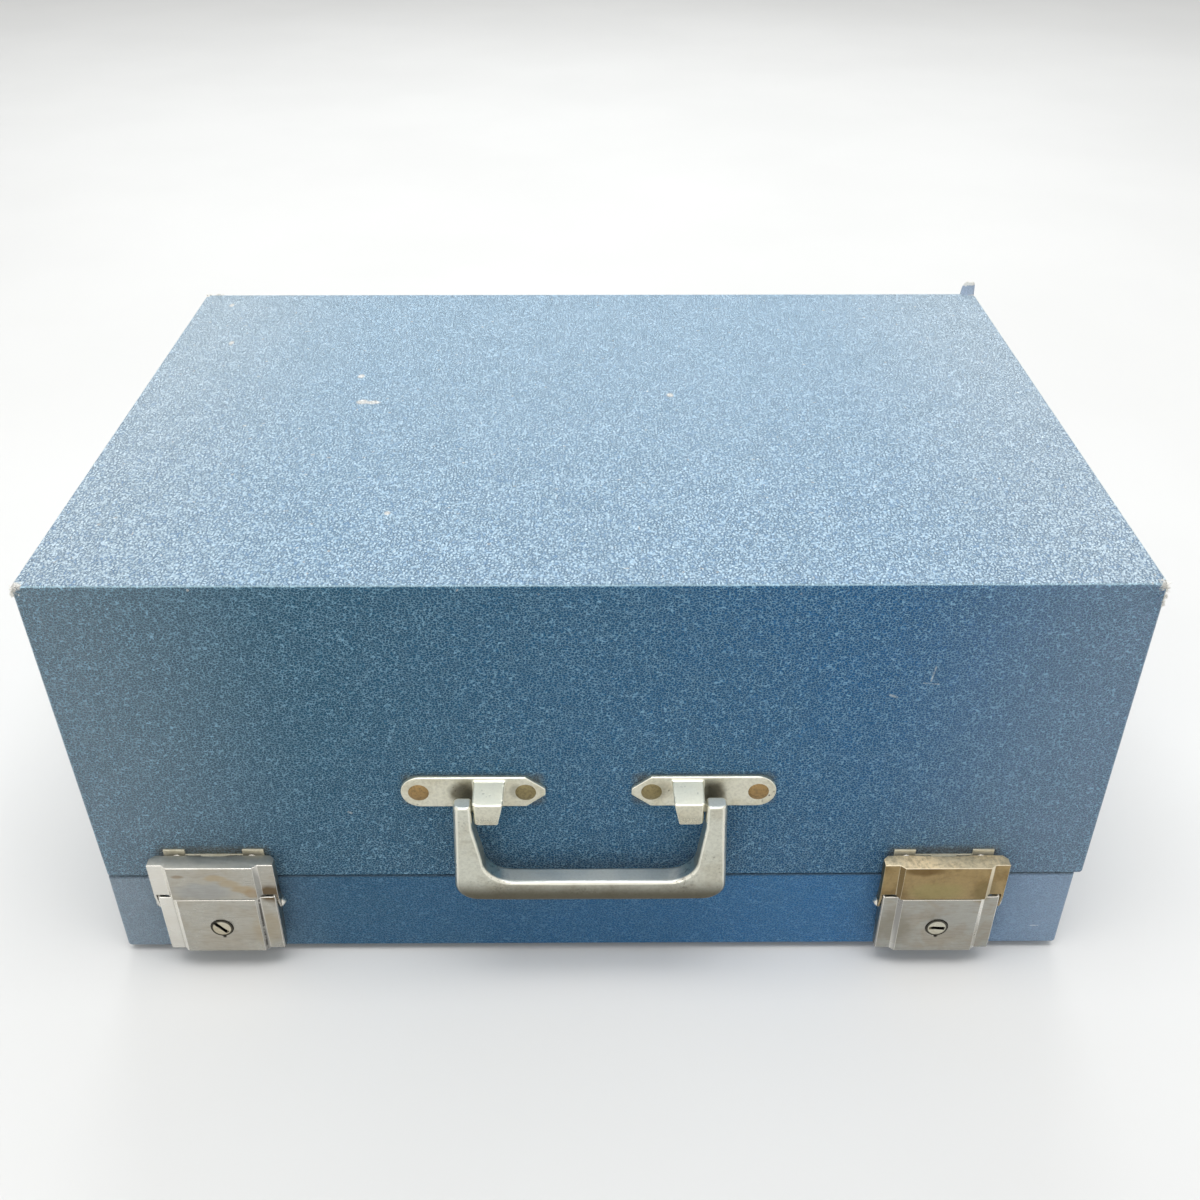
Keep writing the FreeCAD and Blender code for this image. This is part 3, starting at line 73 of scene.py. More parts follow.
class Finish:
    """One material. Each method adds a node and gives back the socket that holds its result.

    The scales of noise and cells are per metre.
    """

    def __init__(self, name):
        self.material = bpy.data.materials.new(name)
        self.material.use_nodes = True
        self.tree = self.material.node_tree
        self.tree.nodes.clear()
        self.place = self.add("ShaderNodeTexCoord").outputs["Object"]

    def add(self, kind, **settings):
        node = self.tree.nodes.new(kind)
        for name, value in settings.items():
            setattr(node, name, value)
        return node

    def put(self, socket, value):
        """Links a socket to another one, or sets it to a number, a colour or a vector."""
        if isinstance(value, bpy.types.NodeSocket):
            self.tree.links.new(value, socket)
        elif socket.type == "RGBA":
            socket.default_value = (*value, 1.0)
        else:
            socket.default_value = value

    def apply(self, operation, *values):
        """A Math node, such as ADD or POWER."""
        node = self.add("ShaderNodeMath", operation=operation)
        for socket, value in zip(node.inputs, values):
            self.put(socket, value)
        return node.outputs[0]

    def plus(self, first, second):
        return self.apply("ADD", first, second)

    def minus(self, first, second):
        return self.apply("SUBTRACT", first, second)

    def times(self, first, second):
        return self.apply("MULTIPLY", first, second)

    def larger(self, first, second):
        return self.apply("MAXIMUM", first, second)

    def smaller(self, first, second):
        return self.apply("MINIMUM", first, second)

    def size(self, value):
        return self.apply("ABSOLUTE", value)

    def apart(self, first, second):
        return self.size(self.minus(first, second))

    def vector(self, operation, *values):
        node = self.add("ShaderNodeVectorMath", operation=operation)
        for socket, value in zip(node.inputs, values):
            self.put(socket, value)
        return node.outputs["Value" if operation in ("LENGTH", "DOT_PRODUCT") else "Vector"]

    def parts(self, vector):
        node = self.add("ShaderNodeSeparateXYZ")
        self.put(node.inputs[0], vector)
        return node.outputs

    def facing(self):
        """The parts of the surface's direction in the object's own space."""
        return self.parts(self.add("ShaderNodeTexCoord").outputs["Normal"])

    def stretched(self, scale):
        return self.vector("MULTIPLY", self.place, scale)

    def noise(self, scale, detail=2.0, roughness=0.5, distortion=0.0, vector=None):
        node = self.add("ShaderNodeTexNoise")
        self.put(node.inputs["Vector"], vector or self.place)
        for name, value in (("Scale", scale), ("Detail", detail), ("Roughness", roughness),
                            ("Distortion", distortion)):
            self.put(node.inputs[name], value)
        return node.outputs["Fac"]

    def wandered(self, scale, amount, vector=None):
        """The place moved about by noise, by up to half of amount each way."""
        node = self.add("ShaderNodeTexNoise")
        vector = vector or self.place
        self.put(node.inputs["Vector"], vector)
        self.put(node.inputs["Scale"], scale)
        self.put(node.inputs["Detail"], 1.0)
        centred = self.vector("SUBTRACT", node.outputs["Color"], (0.5, 0.5, 0.5))
        return self.vector("ADD", vector, self.vector("MULTIPLY", centred, (amount,) * 3))

    def cells(self, scale, vector, feature):
        node = self.add("ShaderNodeTexVoronoi", feature=feature)
        self.put(node.inputs["Vector"], vector)
        self.put(node.inputs["Scale"], scale)
        return node.outputs["Distance"]

    def between(self, value, low, high, start=0.0, end=1.0):
        """Smoothly from start to end as value goes from low to high, and level outside."""
        node = self.add("ShaderNodeMapRange", interpolation_type="SMOOTHSTEP", clamp=True)
        for socket, number in zip(node.inputs, (value, low, high, start, end)):
            self.put(socket, number)
        return node.outputs["Result"]

    def fading(self, value, low, high, start=1.0):
        return self.between(value, low, high, start, 0.0)

    def mix(self, share, first, second):
        """The first colour where share is 0, the second where it is 1."""
        node = self.add("ShaderNodeMix", data_type="RGBA")
        self.put(node.inputs[0], share)
        self.put(node.inputs[6], first)
        self.put(node.inputs[7], second)
        return node.outputs[2]

    def bump(self, height, distance, strength=1.0, normal=None):
        node = self.add("ShaderNodeBump")
        self.put(node.inputs["Height"], height)
        self.put(node.inputs["Distance"], distance)
        self.put(node.inputs["Strength"], strength)
        if normal is not None:
            self.put(node.inputs["Normal"], normal)
        return node.outputs[0]

    def outside_rectangle(self, x, z, centre, half):
        """Distance outside a rectangle on the front face, in metres."""
        across = self.minus(self.apart(x, centre[0]), half[0])
        up = self.minus(self.apart(z, centre[1]), half[1])
        across, up = (self.apply("POWER", self.larger(side, 0.0), 2.0) for side in (across, up))
        return self.apply("SQRT", self.plus(across, up))

    def from_point(self, point):
        """Distance from a point as seen from the front, in metres."""
        offset = self.vector("SUBTRACT", self.place, point)
        return self.vector("LENGTH", self.vector("MULTIPLY", offset, (1.0, 0.0, 1.0)))

    def bend(self):
        """0 on faces square to the axes, rising to 0.29 on an edge rounded between two of them."""
        facing = self.facing()
        x, y, z = (self.size(facing[axis]) for axis in "XYZ")
        return self.minus(1.0, self.larger(x, self.larger(y, z)))

    def patch(self, centre, half, ragged=0.4):
        """1 in an ellipsoid about centre, fading raggedly to 0 just outside it."""
        moved = self.wandered(220, ragged * 2 * min(half))
        offset = self.vector("DIVIDE", self.vector("SUBTRACT", moved, centre), half)
        return self.fading(self.vector("LENGTH", offset), 0.55, 1.25)

    def stroke(self, start, end, width):
        """1 on a scratch between two points, fading to 0 at its width."""
        along = Vector(end) - Vector(start)
        from_start = self.vector("SUBTRACT", self.place, start)
        share = self.vector("DOT_PRODUCT", from_start, along / along.length_squared)
        share = self.larger(self.smaller(share, 1.0), 0.0)
        nearest = self.add("ShaderNodeVectorMath", operation="SCALE")
        self.put(nearest.inputs["Vector"], along)
        self.put(nearest.inputs["Scale"], share)
        gap = self.vector("LENGTH", self.vector("SUBTRACT", from_start, nearest.outputs["Vector"]))
        return self.fading(gap, 0.3 * width, width)

    def done(self, **sockets):
        """Ends the material in a Principled shader with the sockets given by name."""
        shader = self.add("ShaderNodeBsdfPrincipled")
        for name, value in sockets.items():
            self.put(shader.inputs[name.replace("_", " ")], value)
        output = self.add("ShaderNodeOutputMaterial")
        self.tree.links.new(shader.outputs[0], output.inputs[0])
        return self.material


# Covering

# A look is the grain's strength, the colours at the left, at the right, low down, where it is worn and on
# top, and how far both ends fade; the top colour is paler partly from fading and partly as a painted sheen. A
# mark is its shares and colours, on upright faces and on top.
Look = namedtuple("Look", "grain left right low worn top ends")
LID_LOOK = Look(grain=1.0, left=(0.014, 0.135, 0.215), right=(0.006, 0.178, 0.480),
                low=(0.004, 0.098, 0.225), worn=(0.050, 0.185, 0.305), top=(0.55, 0.780, 0.980), ends=0.40)
BASE_LOOK = Look(grain=0.34, left=(0.001, 0.060, 0.110), right=(0.030, 0.215, 0.560),
                 low=(0.003, 0.078, 0.180), worn=(0.026, 0.120, 0.215), top=(0.180, 0.310, 0.450), ends=0.42)
# Pale veins on upright faces and pale pores on top partly paint the grain relief's highlights and the top's
# sheen.
PORE_MARK = (0.40, 0.25, (0.01, 0.045, 0.09), (0.80, 0.95, 1.00))
VEIN_MARK = (0.74, 0.80, (0.30, 0.54, 0.72), (0.10, 0.22, 0.42))
GRAIN_SCALE = 1000.0
GRAIN_STRETCH = (0.85, 0.62, 1.05)
GRAIN_WANDER = 0.7 * MM
GRAIN_DEPTH = 0.70 * MM
BOARD_DEPTH = 1.2 * MM
TOP_BAND = (lid_high.z - 7 * MM, lid_high.z - 1 * MM)
SEAM_BAND = (0.3 * MM, 1.3 * MM)
TORN_BAND = (-0.6 * MM, 0.5 * MM)
TORN_RAGGED = 7.0 * MM
DIRT_BAND = (-1.0 * MM, 3.2 * MM)
DIRT_RAGGED = 2.2 * MM
DIRT_INSET_X = 3 * MM
DIRT_INSET_Z = 2 * MM
STRIKE_INSET_Z = 1.0 * MM
DARK_SPECK = (0.02, 0.05, 0.09)
PALE_ENDS = (0.62, 0.66, 0.70)
PALE_TOP_ENDS = (0.68, 0.85, 0.98)
GREY_BLOTCH = (0.10, 0.17, 0.18)
YELLOW_DIRT = (0.15, 0.13, 0.08)
RUBBED_HIGHLIT_SIDE = (0.52, 0.66, 0.76)
RUBBED_HIGHLIT_TOP = (0.60, 0.86, 1.0)
SEAM_SHADE = (0.015, 0.035, 0.055)
BARE_FIBRE = (0.88, 0.87, 0.82)
PAINT_FLECK = (0.93, 0.94, 0.92)
SCRATCHED = (0.62, 0.72, 0.78)
DUST = (0.78, 0.80, 0.79)

# Paint flecks on the lid's top, as centre and half size, and scratches on the front, as both ends and
# width, in millimetres
TOP_FLECKS = (
    ((-172.5, 77.5), (1.3, 2.2)),
    ((-104.5, 39.0), (1.7, 2.2)),
    ((-100.0, 12.0), (2.6, 2.6)),
    ((-95.5, 11.5), (3.4, 1.9)),
    ((35.0, 18.5), (1.6, 2.2)),
    ((-76.5, -84.0), (1.2, 1.5)),
    ((-183.5, 126.0), (1.2, 2.2)),
)
SCRATCHES = (
    ((124.5, 150.5), (123.5, 144.0), 0.45),
    ((121.0, 143.0), (126.5, 142.5), 0.45),
    ((109.5, 137.5), (112.0, 136.5), 0.7),
    ((-95.0, 80.0), (-94.0, 79.5), 0.8),
    ((184.5, 13.5), (187.5, 13.5), 0.45),
    ((-198.5, 130.0), (-198.5, 124.0), 0.9),
)


def faded_colour_and_sheen(finish, look, x, z, up, blotch):
    """The covering's blue: paler at its ends and on top, where the paleness is partly faded and partly a
    painted sheen, deeper low down, with grey blotches.
    """
    ends = finish.between(finish.size(x), 95 * MM, 205 * MM)
    cloud = finish.noise(9, 3, 0.55)
    colour = finish.mix(finish.between(x, -190 * MM, 160 * MM), look.left, look.right)
    colour = finish.mix(finish.between(cloud, 0.3, 0.7, 0.0, 0.22), colour, look.worn)
    colour = finish.mix(finish.fading(z, 30 * MM, 130 * MM, 0.45), colour, look.low)
    colour = finish.mix(finish.times(ends, look.ends), colour, PALE_ENDS)
    # Paler on top: partly faded and dusty, partly a painted sheen.
    colour = finish.mix(finish.times(up, 0.92), colour, finish.mix(ends, look.top, PALE_TOP_ENDS))
    return finish.mix(finish.between(blotch, 0.35, 0.75, 0.0, 0.10), colour, GREY_BLOTCH)


def grained(finish, colour, y, up, strength):
    """The colour with fine specks, pores and veins, which fade on top towards the back, and their relief.
    Their pale tones partly paint the relief's highlights and the top's sparkling sheen.
    """
    spread = finish.stretched(GRAIN_STRETCH)
    cell = finish.cells(GRAIN_SCALE, finish.wandered(900, GRAIN_WANDER, spread), "DISTANCE_TO_EDGE")
    ripple = finish.noise(1250, 0.0, vector=spread)
    gap_from = finish.between(up, 0.0, 1.0, 0.22, 0.32)
    gap_to = finish.between(up, 0.0, 1.0, 0.46, 0.54)
    vein = finish.times(finish.fading(cell, 0.02, 0.17), finish.between(ripple, gap_from, gap_to))
    pore = finish.between(finish.plus(cell, finish.times(ripple, -0.25)), 0.0, 0.18)
    fine = finish.noise(1900, 3, 0.6)
    height = finish.minus(finish.times(vein, 0.7), finish.times(pore, 0.7))
    height = finish.plus(height, finish.times(fine, 0.3))

    speck = finish.times(finish.between(fine, 0.3, 0.7), 0.20)
    colour = finish.mix(finish.times(speck, strength), colour, DARK_SPECK)
    bold = finish.between(finish.noise(150), 0.34, 0.60, 0.80, 1.0)
    back_fade = finish.times(up, finish.between(y, lid_low.y, lid_high.y, 0.0, 0.6))
    for mark, (front_share, top_share, tone, top_tone) in ((pore, PORE_MARK), (vein, VEIN_MARK)):
        share = finish.between(up, 0.0, 1.0, front_share * strength, top_share * strength)
        share = finish.times(share, finish.minus(1.0, back_fade))
        share = finish.times(finish.times(mark, bold), share)
        colour = finish.mix(share, colour, finish.mix(up, tone, top_tone))
    return colour, height


def hardware_dirt(finish, x, y, z):
    """1 in a thin ragged line on the front, round the handle plates and the strikes."""
    near_low, near_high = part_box("handle_plate_left")
    far_low, far_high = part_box("handle_plate_right")
    middle = (near_low.x + far_high.x) / 2
    plate_x = (far_low.x + far_high.x) / 2 - middle
    plate_z = (near_low.z + near_high.z) / 2
    half = ((far_high.x - far_low.x) / 2 - DIRT_INSET_X, (near_high.z - near_low.z) / 2 - DIRT_INSET_Z)
    rim = finish.outside_rectangle(finish.apart(x, middle), z, (plate_x, plate_z), half)
    for side in SIDES:
        low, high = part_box(f"strike_plate_{side}")
        centre, half = (low + high) / 2, (high - low) / 2
        strike = finish.outside_rectangle(x, z, (centre.x, centre.z), (half.x, half.z - STRIKE_INSET_Z))
        rim = finish.smaller(rim, strike)
    ragged = finish.plus(rim, finish.times(finish.noise(700, 3), -DIRT_RAGGED))
    on_front = finish.fading(y, front_face + 0.6 * MM, front_face + 1.4 * MM)
    return finish.times(finish.fading(ragged, *DIRT_BAND), on_front)


def edges_rubbed_and_highlit(finish, colour, z, near_top):
    """The colour with pale edges, worn and partly painted highlights, palest at the lid's top, and a dark
    line between lid and base.
    """
    uneven = finish.times(finish.noise(260, 4, 0.65), 0.10)
    # Pale edges: worn, and partly a painted highlight that grows stronger higher up and at the lid's top.
    rubbed_and_highlit = finish.between(finish.plus(finish.bend(), uneven), 0.10, 0.30)
    rubbed_and_highlit = finish.times(rubbed_and_highlit, finish.between(z, 60 * MM, 150 * MM, 0.06, 0.55))
    rubbed_and_highlit = finish.times(rubbed_and_highlit, finish.plus(1.0, finish.times(near_top, 0.5)))
    colour = finish.mix(rubbed_and_highlit, colour, finish.mix(near_top, RUBBED_HIGHLIT_SIDE, RUBBED_HIGHLIT_TOP))
    parting = finish.fading(finish.apart(z, seam_height), *SEAM_BAND)
    return finish.mix(finish.times(parting, 0.6), colour, SEAM_SHADE)


def corners_torn(finish, colour):
    """The colour with bare fibres at the lid's four upper corners."""
    from_middle = finish.vector("SUBTRACT", finish.place, (0.0, middle_depth, 0.0))
    corner = (lid_high.x, lid_high.y - middle_depth, lid_high.z)
    offset = finish.vector("SUBTRACT", finish.vector("ABSOLUTE", from_middle), corner)
    ragged = finish.times(finish.noise(420, 3, 0.7), -TORN_RAGGED)
    torn = finish.plus(finish.vector("LENGTH", offset), ragged)
    return finish.mix(finish.fading(torn, *TORN_BAND), colour, BARE_FIBRE)


def marked(finish, colour, near_top):
    """The colour with paint flecks on the top, a few scratches on the front and dust at the edge."""
    for (x, y), (half_x, half_y) in TOP_FLECKS:
        centre = (x * MM, y * MM, lid_high.z)
        fleck = finish.patch(centre, (half_x * MM, half_y * MM, 4 * MM), 0.25)
        colour = finish.mix(fleck, colour, PAINT_FLECK)
    for (x, z), (far_x, far_z), width in SCRATCHES:
        start, end = (x * MM, front_face, z * MM), (far_x * MM, front_face, far_z * MM)
        broken = finish.between(finish.noise(900), 0.35, 0.55, 0.25, 0.75)
        colour = finish.mix(finish.times(finish.stroke(start, end, width * MM), broken), colour, SCRATCHED)
    dust = finish.times(finish.between(finish.noise(420, 0.0), 0.80, 0.84), near_top)
    return finish.mix(finish.times(dust, 0.7), colour, DUST)


def leatherette(name, look):
    """Pebbled covering: cells parted by fine broken valleys, with the fading and wear of its years, a painted
    sheen on top and painted highlights on its edges and grain.
    """
    finish = Finish(name)
    x, y, z = finish.parts(finish.place)
    up = finish.between(finish.facing()["Z"], 0.55, 0.98)
    near_top = finish.between(z, *TOP_BAND)
    blotch = finish.noise(60, 3, 0.6)
    colour = faded_colour_and_sheen(finish, look, x, z, up, blotch)
    colour, height = grained(finish, colour, y, up, look.grain)
    colour = finish.mix(finish.times(hardware_dirt(finish, x, y, z), 0.55), colour, YELLOW_DIRT)
    colour = edges_rubbed_and_highlit(finish, colour, z, near_top)
    colour = corners_torn(finish, colour)
    colour = marked(finish, colour, near_top)
    relief = finish.bump(height, GRAIN_DEPTH * look.grain)
    relief = finish.bump(finish.noise(26), BOARD_DEPTH, 0.25, relief)
    return finish.done(Base_Color=colour, Roughness=finish.between(blotch, 0.3, 0.7, 0.36, 0.48),
                       Normal=relief, Coat_Weight=0.06, Coat_Roughness=0.22, Coat_Normal=relief,
                       Specular_IOR_Level=0.27)


# Metals

EVEN = (1.0, 1.0, 1.0)
BRUSHED = (0.25, 1.0, 2.5)
NICKEL = (0.46, 0.445, 0.395)
DARKER_NICKEL = (0.40, 0.395, 0.36)
RUBBED_HIGHLIT_NICKEL = (0.90, 0.87, 0.80)
BROWN_STAIN = (0.30, 0.22, 0.12)
BRASS_STAIN = (0.30, 0.21, 0.09)
SMEAR = (0.10, 0.09, 0.08)
PIT = (0.05, 0.045, 0.035)
HOLLOW_SHADE = (0.02, 0.018, 0.015)
LOCK_GAP_SHADE = (0.035, 0.03, 0.026)
LUG_GRIME = (0.10, 0.085, 0.05)
LUG_TOP_GLINT = (0.80, 0.80, 0.68)
LUG_PIT = (0.06, 0.055, 0.045)
GRIP_UNDERSIDE_SHADE = (0.085, 0.075, 0.05)
GRIP_MOTTLE = (0.12, 0.11, 0.08)
GRIP_SCUFF = (0.12, 0.11, 0.09)
GRIP_TOP_HIGHLIGHT = (0.74, 0.80, 0.82)
GRIP_CORNER_PLACE = 36 * MM
INNER_RIVET = (0.26, 0.21, 0.10)
OUTER_RIVET = (0.34, 0.22, 0.09)
RIVET_SPOT = (0.10, 0.08, 0.05)
RIVETS_PART = (35 * MM, 50 * MM)

# Stains on the latches, as centre, half size, colour and share, in millimetres across and up from the
# middle of the hasp's upper edge
LATCH_STAINS = {
    "left": (
        ((2, -5.5), (5, 1.8), (0.42, 0.33, 0.20), 0.60),
        ((7, -8.5), (5, 2.2), (0.42, 0.33, 0.20), 0.60),
        ((12, -11.5), (5, 2.4), (0.40, 0.30, 0.17), 0.65),
        ((16, -14), (4, 2.6), (0.36, 0.26, 0.15), 0.65),
        ((-13, -4.5), (2.5, 0.9), (0.26, 0.19, 0.12), 0.6),
        ((22, -16), (5, 6), (0.13, 0.085, 0.04), 0.92),
        ((-4, -13), (12, 5), (0.33, 0.35, 0.36), 0.5),
        ((19, -36), (7, 9), (0.40, 0.33, 0.22), 0.5),
    ),
    "right": (
        ((-9, -1), (9, 3), (0.16, 0.10, 0.04), 0.80),
        ((-3, -13), (12, 5), (0.34, 0.29, 0.13), 0.7),
        ((16, -14), (6, 6), (0.22, 0.17, 0.08), 0.7),
        ((-18, -34), (8, 10), (0.27, 0.25, 0.20), 0.7),
    ),
}
STAIN_DEPTH = 12 * MM

# Grime beside a lug: how far outward and below the plate's top, half width, half height and share
LUG_STAINS = (
    (11 * MM, 8 * MM, 5 * MM, 6 * MM, 0.75),
    (-10 * MM, 7 * MM, 3 * MM, 4 * MM, 0.35),
)
LUG_STAIN_PLACE = 10 * MM
LUG_STAIN_DEPTH = 6 * MM

# The left latch's painted flank reflection and scored line, placed from the middle of its hasp's upper edge
# and from the case's front
FLANK_BAND = (-18.4 * MM, -17.4 * MM)
FLANK_REFLECTION = (0.95, 0.93, 0.87)
SCORED_FROM = (17.0 * MM, -8.6 * MM, -19 * MM)
SCORED_TO = (16.6 * MM, -8.9 * MM, -47 * MM)
SCORED_WIDTH = 0.75 * MM
SCORED_TONE = (0.05, 0.045, 0.04)


def worn_metal_with_highlights(name, colour, stain, roughness, stain_share, pit_share=0.0, brushed=EVEN,
               bright=RUBBED_HIGHLIT_NICKEL, patches=(), details=None, metallic=1.0):
    """A metal with cloudy tarnish, fine brushing, edges worn and painted bright as a highlight, and stains
    where patches says.

    A patch is a centre, half sizes, a colour and a share. Castings also have small dark pits.
    details may change the colour and roughness further, for one kind of piece.
    """
    finish = Finish(name)
    cloud = finish.noise(85, 4, 0.6, 0.3)
    smear = finish.noise(900, 3, 0.6, vector=finish.stretched(brushed))
    tint = finish.mix(finish.between(cloud, 0.40, 0.68, 0.0, stain_share), colour, stain)
    tint = finish.mix(finish.between(smear, 0.35, 0.75, 0.0, 0.18), tint, SMEAR)
    dull = finish.plus(finish.between(cloud, 0.3, 0.75, roughness, roughness + 0.14),
                       finish.between(smear, 0.3, 0.8, 0.0, 0.08))
    for centre, half, patch_colour, share in patches:
        spot = finish.times(finish.patch(centre, half), share)
        tint = finish.mix(spot, tint, patch_colour)
        dull = finish.plus(dull, finish.times(spot, 0.12))
    height = finish.times(smear, 0.4)
    if pit_share:
        holes = finish.fading(finish.cells(520, finish.wandered(300, 2 * MM), "F1"), 0.10, 0.34)
        pits = finish.times(holes, finish.between(finish.noise(150), 0.55, 0.68))
        tint = finish.mix(finish.times(pits, pit_share), tint, PIT)
        height = finish.minus(height, pits)
    # Edges worn bright, partly a painted highlight.
    rubbed_and_highlit = finish.between(finish.plus(finish.bend(), finish.times(cloud, -0.05)), 0.01, 0.12)
    tint = finish.mix(finish.times(rubbed_and_highlit, 0.85), tint, bright)
    dull = finish.minus(dull, finish.times(rubbed_and_highlit, 0.08))
    if details:
        tint, dull = details(finish, tint, dull)
    relief = finish.bump(height, 0.05 * MM, 0.6)
    return finish.done(Base_Color=tint, Metallic=metallic, Roughness=dull, Normal=relief)


def latch_stains(side):
    """One latch's stains, each reaching through the whole depth of its plates."""
    low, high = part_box(f"latch_hasp_{side}")
    middle = (low.x + high.x) / 2
    stains = []
    for (x, z), (half_x, half_z), colour, share in LATCH_STAINS[side]:
        centre = (middle + x * MM, low.y, high.z + z * MM)
        stains.append((centre, (half_x * MM, STAIN_DEPTH, half_z * MM), colour, share))
    return stains


def left_latch_reflection_and_score(finish, tint):
    """The left latch's outer flank painted bright as a reflection, and the dark scored line down its lever's
    inner slope.
    """
    low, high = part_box("latch_hasp_left")
    origin = Vector(((low.x + high.x) / 2, front_face, high.z))
    x = finish.parts(finish.place)["X"]
    # Painted reflection on the outer flank.
    flank = finish.fading(x, origin.x + FLANK_BAND[0], origin.x + FLANK_BAND[1], 0.5)
    tint = finish.mix(flank, tint, FLANK_REFLECTION)
    scored = finish.stroke(origin + Vector(SCORED_FROM), origin + Vector(SCORED_TO), SCORED_WIDTH)
    ragged = finish.between(finish.noise(420, 3, 0.6), 0.32, 0.50, 0.15, 0.85)
    return finish.mix(finish.times(scored, ragged), tint, SCORED_TONE)


def latch_details(side, ledge, slope):
    """A latch's ledge, paler where it faces up from sand and a painted highlight, and its inner slope,
    painted darker as a dim reflection, in the colours given, with painted shade in the gap round its lock and
    in a notch below it.
    """
    hasp_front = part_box(f"latch_hasp_{side}")[0].y
    plug_low, plug_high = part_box(f"lock_plug_{side}")
    plug = Vector(((plug_low.x + plug_high.x) / 2, hasp_front, (plug_low.z + plug_high.z) / 2))
    notch_place = plug + Vector((0.2 * MM, 0.0, -PLUG_FACE - 0.3 * MM))
    notch_half = (1.0 * MM, STAIN_DEPTH, 1.2 * MM)

    def details(finish, tint, dull):
        facing = finish.facing()
        inward = facing["X"] if side == "left" else finish.times(facing["X"], -1.0)
        # Inner slope painted darker: a painted dim reflection.
        leaning = finish.times(finish.between(inward, 0.40, 0.60), finish.fading(inward, 0.80, 0.95, 0.93))
        tint = finish.mix(leaning, tint, slope)
        if side == "left":
            tint = left_latch_reflection_and_score(finish, tint)
        # Ledge paler where it faces up: sandy deposit, and partly a painted highlight from the light above.
        up = finish.between(facing["Z"], 0.80, 0.97)
        grit_and_highlight = finish.between(finish.noise(500, 4, 0.7), 0.3, 0.6, 0.55, 1.0)
        tint = finish.mix(finish.times(up, grit_and_highlight), tint, ledge)
        dull = finish.plus(dull, finish.times(up, 0.22))
        # Painted shade in the gap round the lock plug.
        ring = finish.fading(finish.from_point(plug), PLUG_FACE + 0.1 * MM, PLUG_FACE + 0.4 * MM, 0.85)
        tint = finish.mix(ring, tint, LOCK_GAP_SHADE)
        # Painted shade in a notch below the plug.
        return finish.mix(finish.patch(notch_place, notch_half, 0.1), tint, HOLLOW_SHADE), dull
    return details


def lock_details(side, tilt, shift, half):
    """A lock plug's rim and slot, painted dark as shade in the gap round it and in the keyway. The slot is
    turned by tilt, moved along itself by shift, and reaches half each way."""
    low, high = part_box(f"lock_plug_{side}")
    middle = (low + high) / 2
    along = Vector((math.cos(tilt), 0.0, math.sin(tilt)))
    across = Vector((-math.sin(tilt), 0.0, math.cos(tilt)))

    def details(finish, tint, dull):
        offset = finish.vector("SUBTRACT", finish.place, middle + along * shift)
        length, width = (finish.size(finish.vector("DOT_PRODUCT", offset, way)) for way in (along, across))
        sunk = finish.between(finish.parts(finish.place)["Y"], low.y + 0.15 * MM, low.y + 0.45 * MM)
        slot = finish.times(finish.fading(length, half - 0.2 * MM, half + 0.2 * MM),
                            finish.larger(sunk, finish.fading(width, 0.65 * MM, 0.9 * MM)))
        from_middle = finish.from_point(middle)
        rim = finish.between(from_middle, PLUG_FACE - 0.95 * MM, PLUG_FACE - 0.55 * MM, 0.0, 0.88)
        dark = finish.larger(slot, rim)
        return finish.mix(dark, tint, HOLLOW_SHADE), finish.plus(dull, finish.times(dark, 0.3))
    return details


def plate_details(finish, tint, dull):
    """Paler metal where the lugs face up, a painted reflection of the light above, and faint dark pits low on
    their front faces.
    """
    low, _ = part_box("handle_plate_left")
    _, y, z = finish.parts(finish.place)
    up = finish.between(finish.facing()["Z"], 0.55, 0.95)
    # Painted reflection on the lugs' tops.
    tint = finish.mix(finish.times(up, 0.6), tint, LUG_TOP_GLINT)
    chin = finish.times(finish.fading(y, low.y + 0.6 * MM, low.y + 1.8 * MM),
                        finish.fading(z, low.z + 2.0 * MM, low.z + 6.0 * MM, 0.55))
    pitted = finish.between(finish.noise(2200, 2, 0.6), 0.40, 0.60)
    return finish.mix(finish.times(chin, pitted), tint, LUG_PIT), dull


def bail_details(finish, tint, dull):
    """Darker, browner metal low on the bail as painted shade where it curves under, mottled at its middle and
    scuffed at its corners, and a top painted paler as a highlight.
    """
    low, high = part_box("handle_bail")
    x, _, z = finish.parts(finish.place)
    # Painted shade: darker towards the grip's curved underside.
    ragged_height = finish.plus(z, finish.times(finish.noise(60, 4, 0.6), -3 * MM))
    under = finish.fading(ragged_height, low.z + 2.5 * MM, low.z + 13 * MM, 0.93)
    tint = finish.mix(under, tint, GRIP_UNDERSIDE_SHADE)
    middle = Vector(((low.x + high.x) / 2, low.y, low.z + 3 * MM))
    mottled = finish.times(finish.patch(middle, (16 * MM, 20 * MM, 5 * MM), 1.0),
                           finish.between(finish.noise(900, 3, 0.6), 0.35, 0.7, 0.0, 0.5))
    tint = finish.mix(mottled, tint, GRIP_MOTTLE)
    from_corner = finish.apart(finish.apart(x, middle.x), GRIP_CORNER_PLACE)
    scuffed = finish.times(finish.fading(from_corner, 1 * MM, 9 * MM),
                           finish.between(finish.noise(700, 3, 0.6), 0.5, 0.65, 0.0, 0.45))
    tint = finish.mix(scuffed, tint, GRIP_SCUFF)
    # Painted highlight: upward faces paler from the light above.
    up = finish.between(finish.facing()["Z"], 0.75, 0.98)
    tint = finish.mix(finish.times(up, 0.5), tint, GRIP_TOP_HIGHLIGHT)
    return tint, finish.plus(dull, finish.times(up, 0.12))


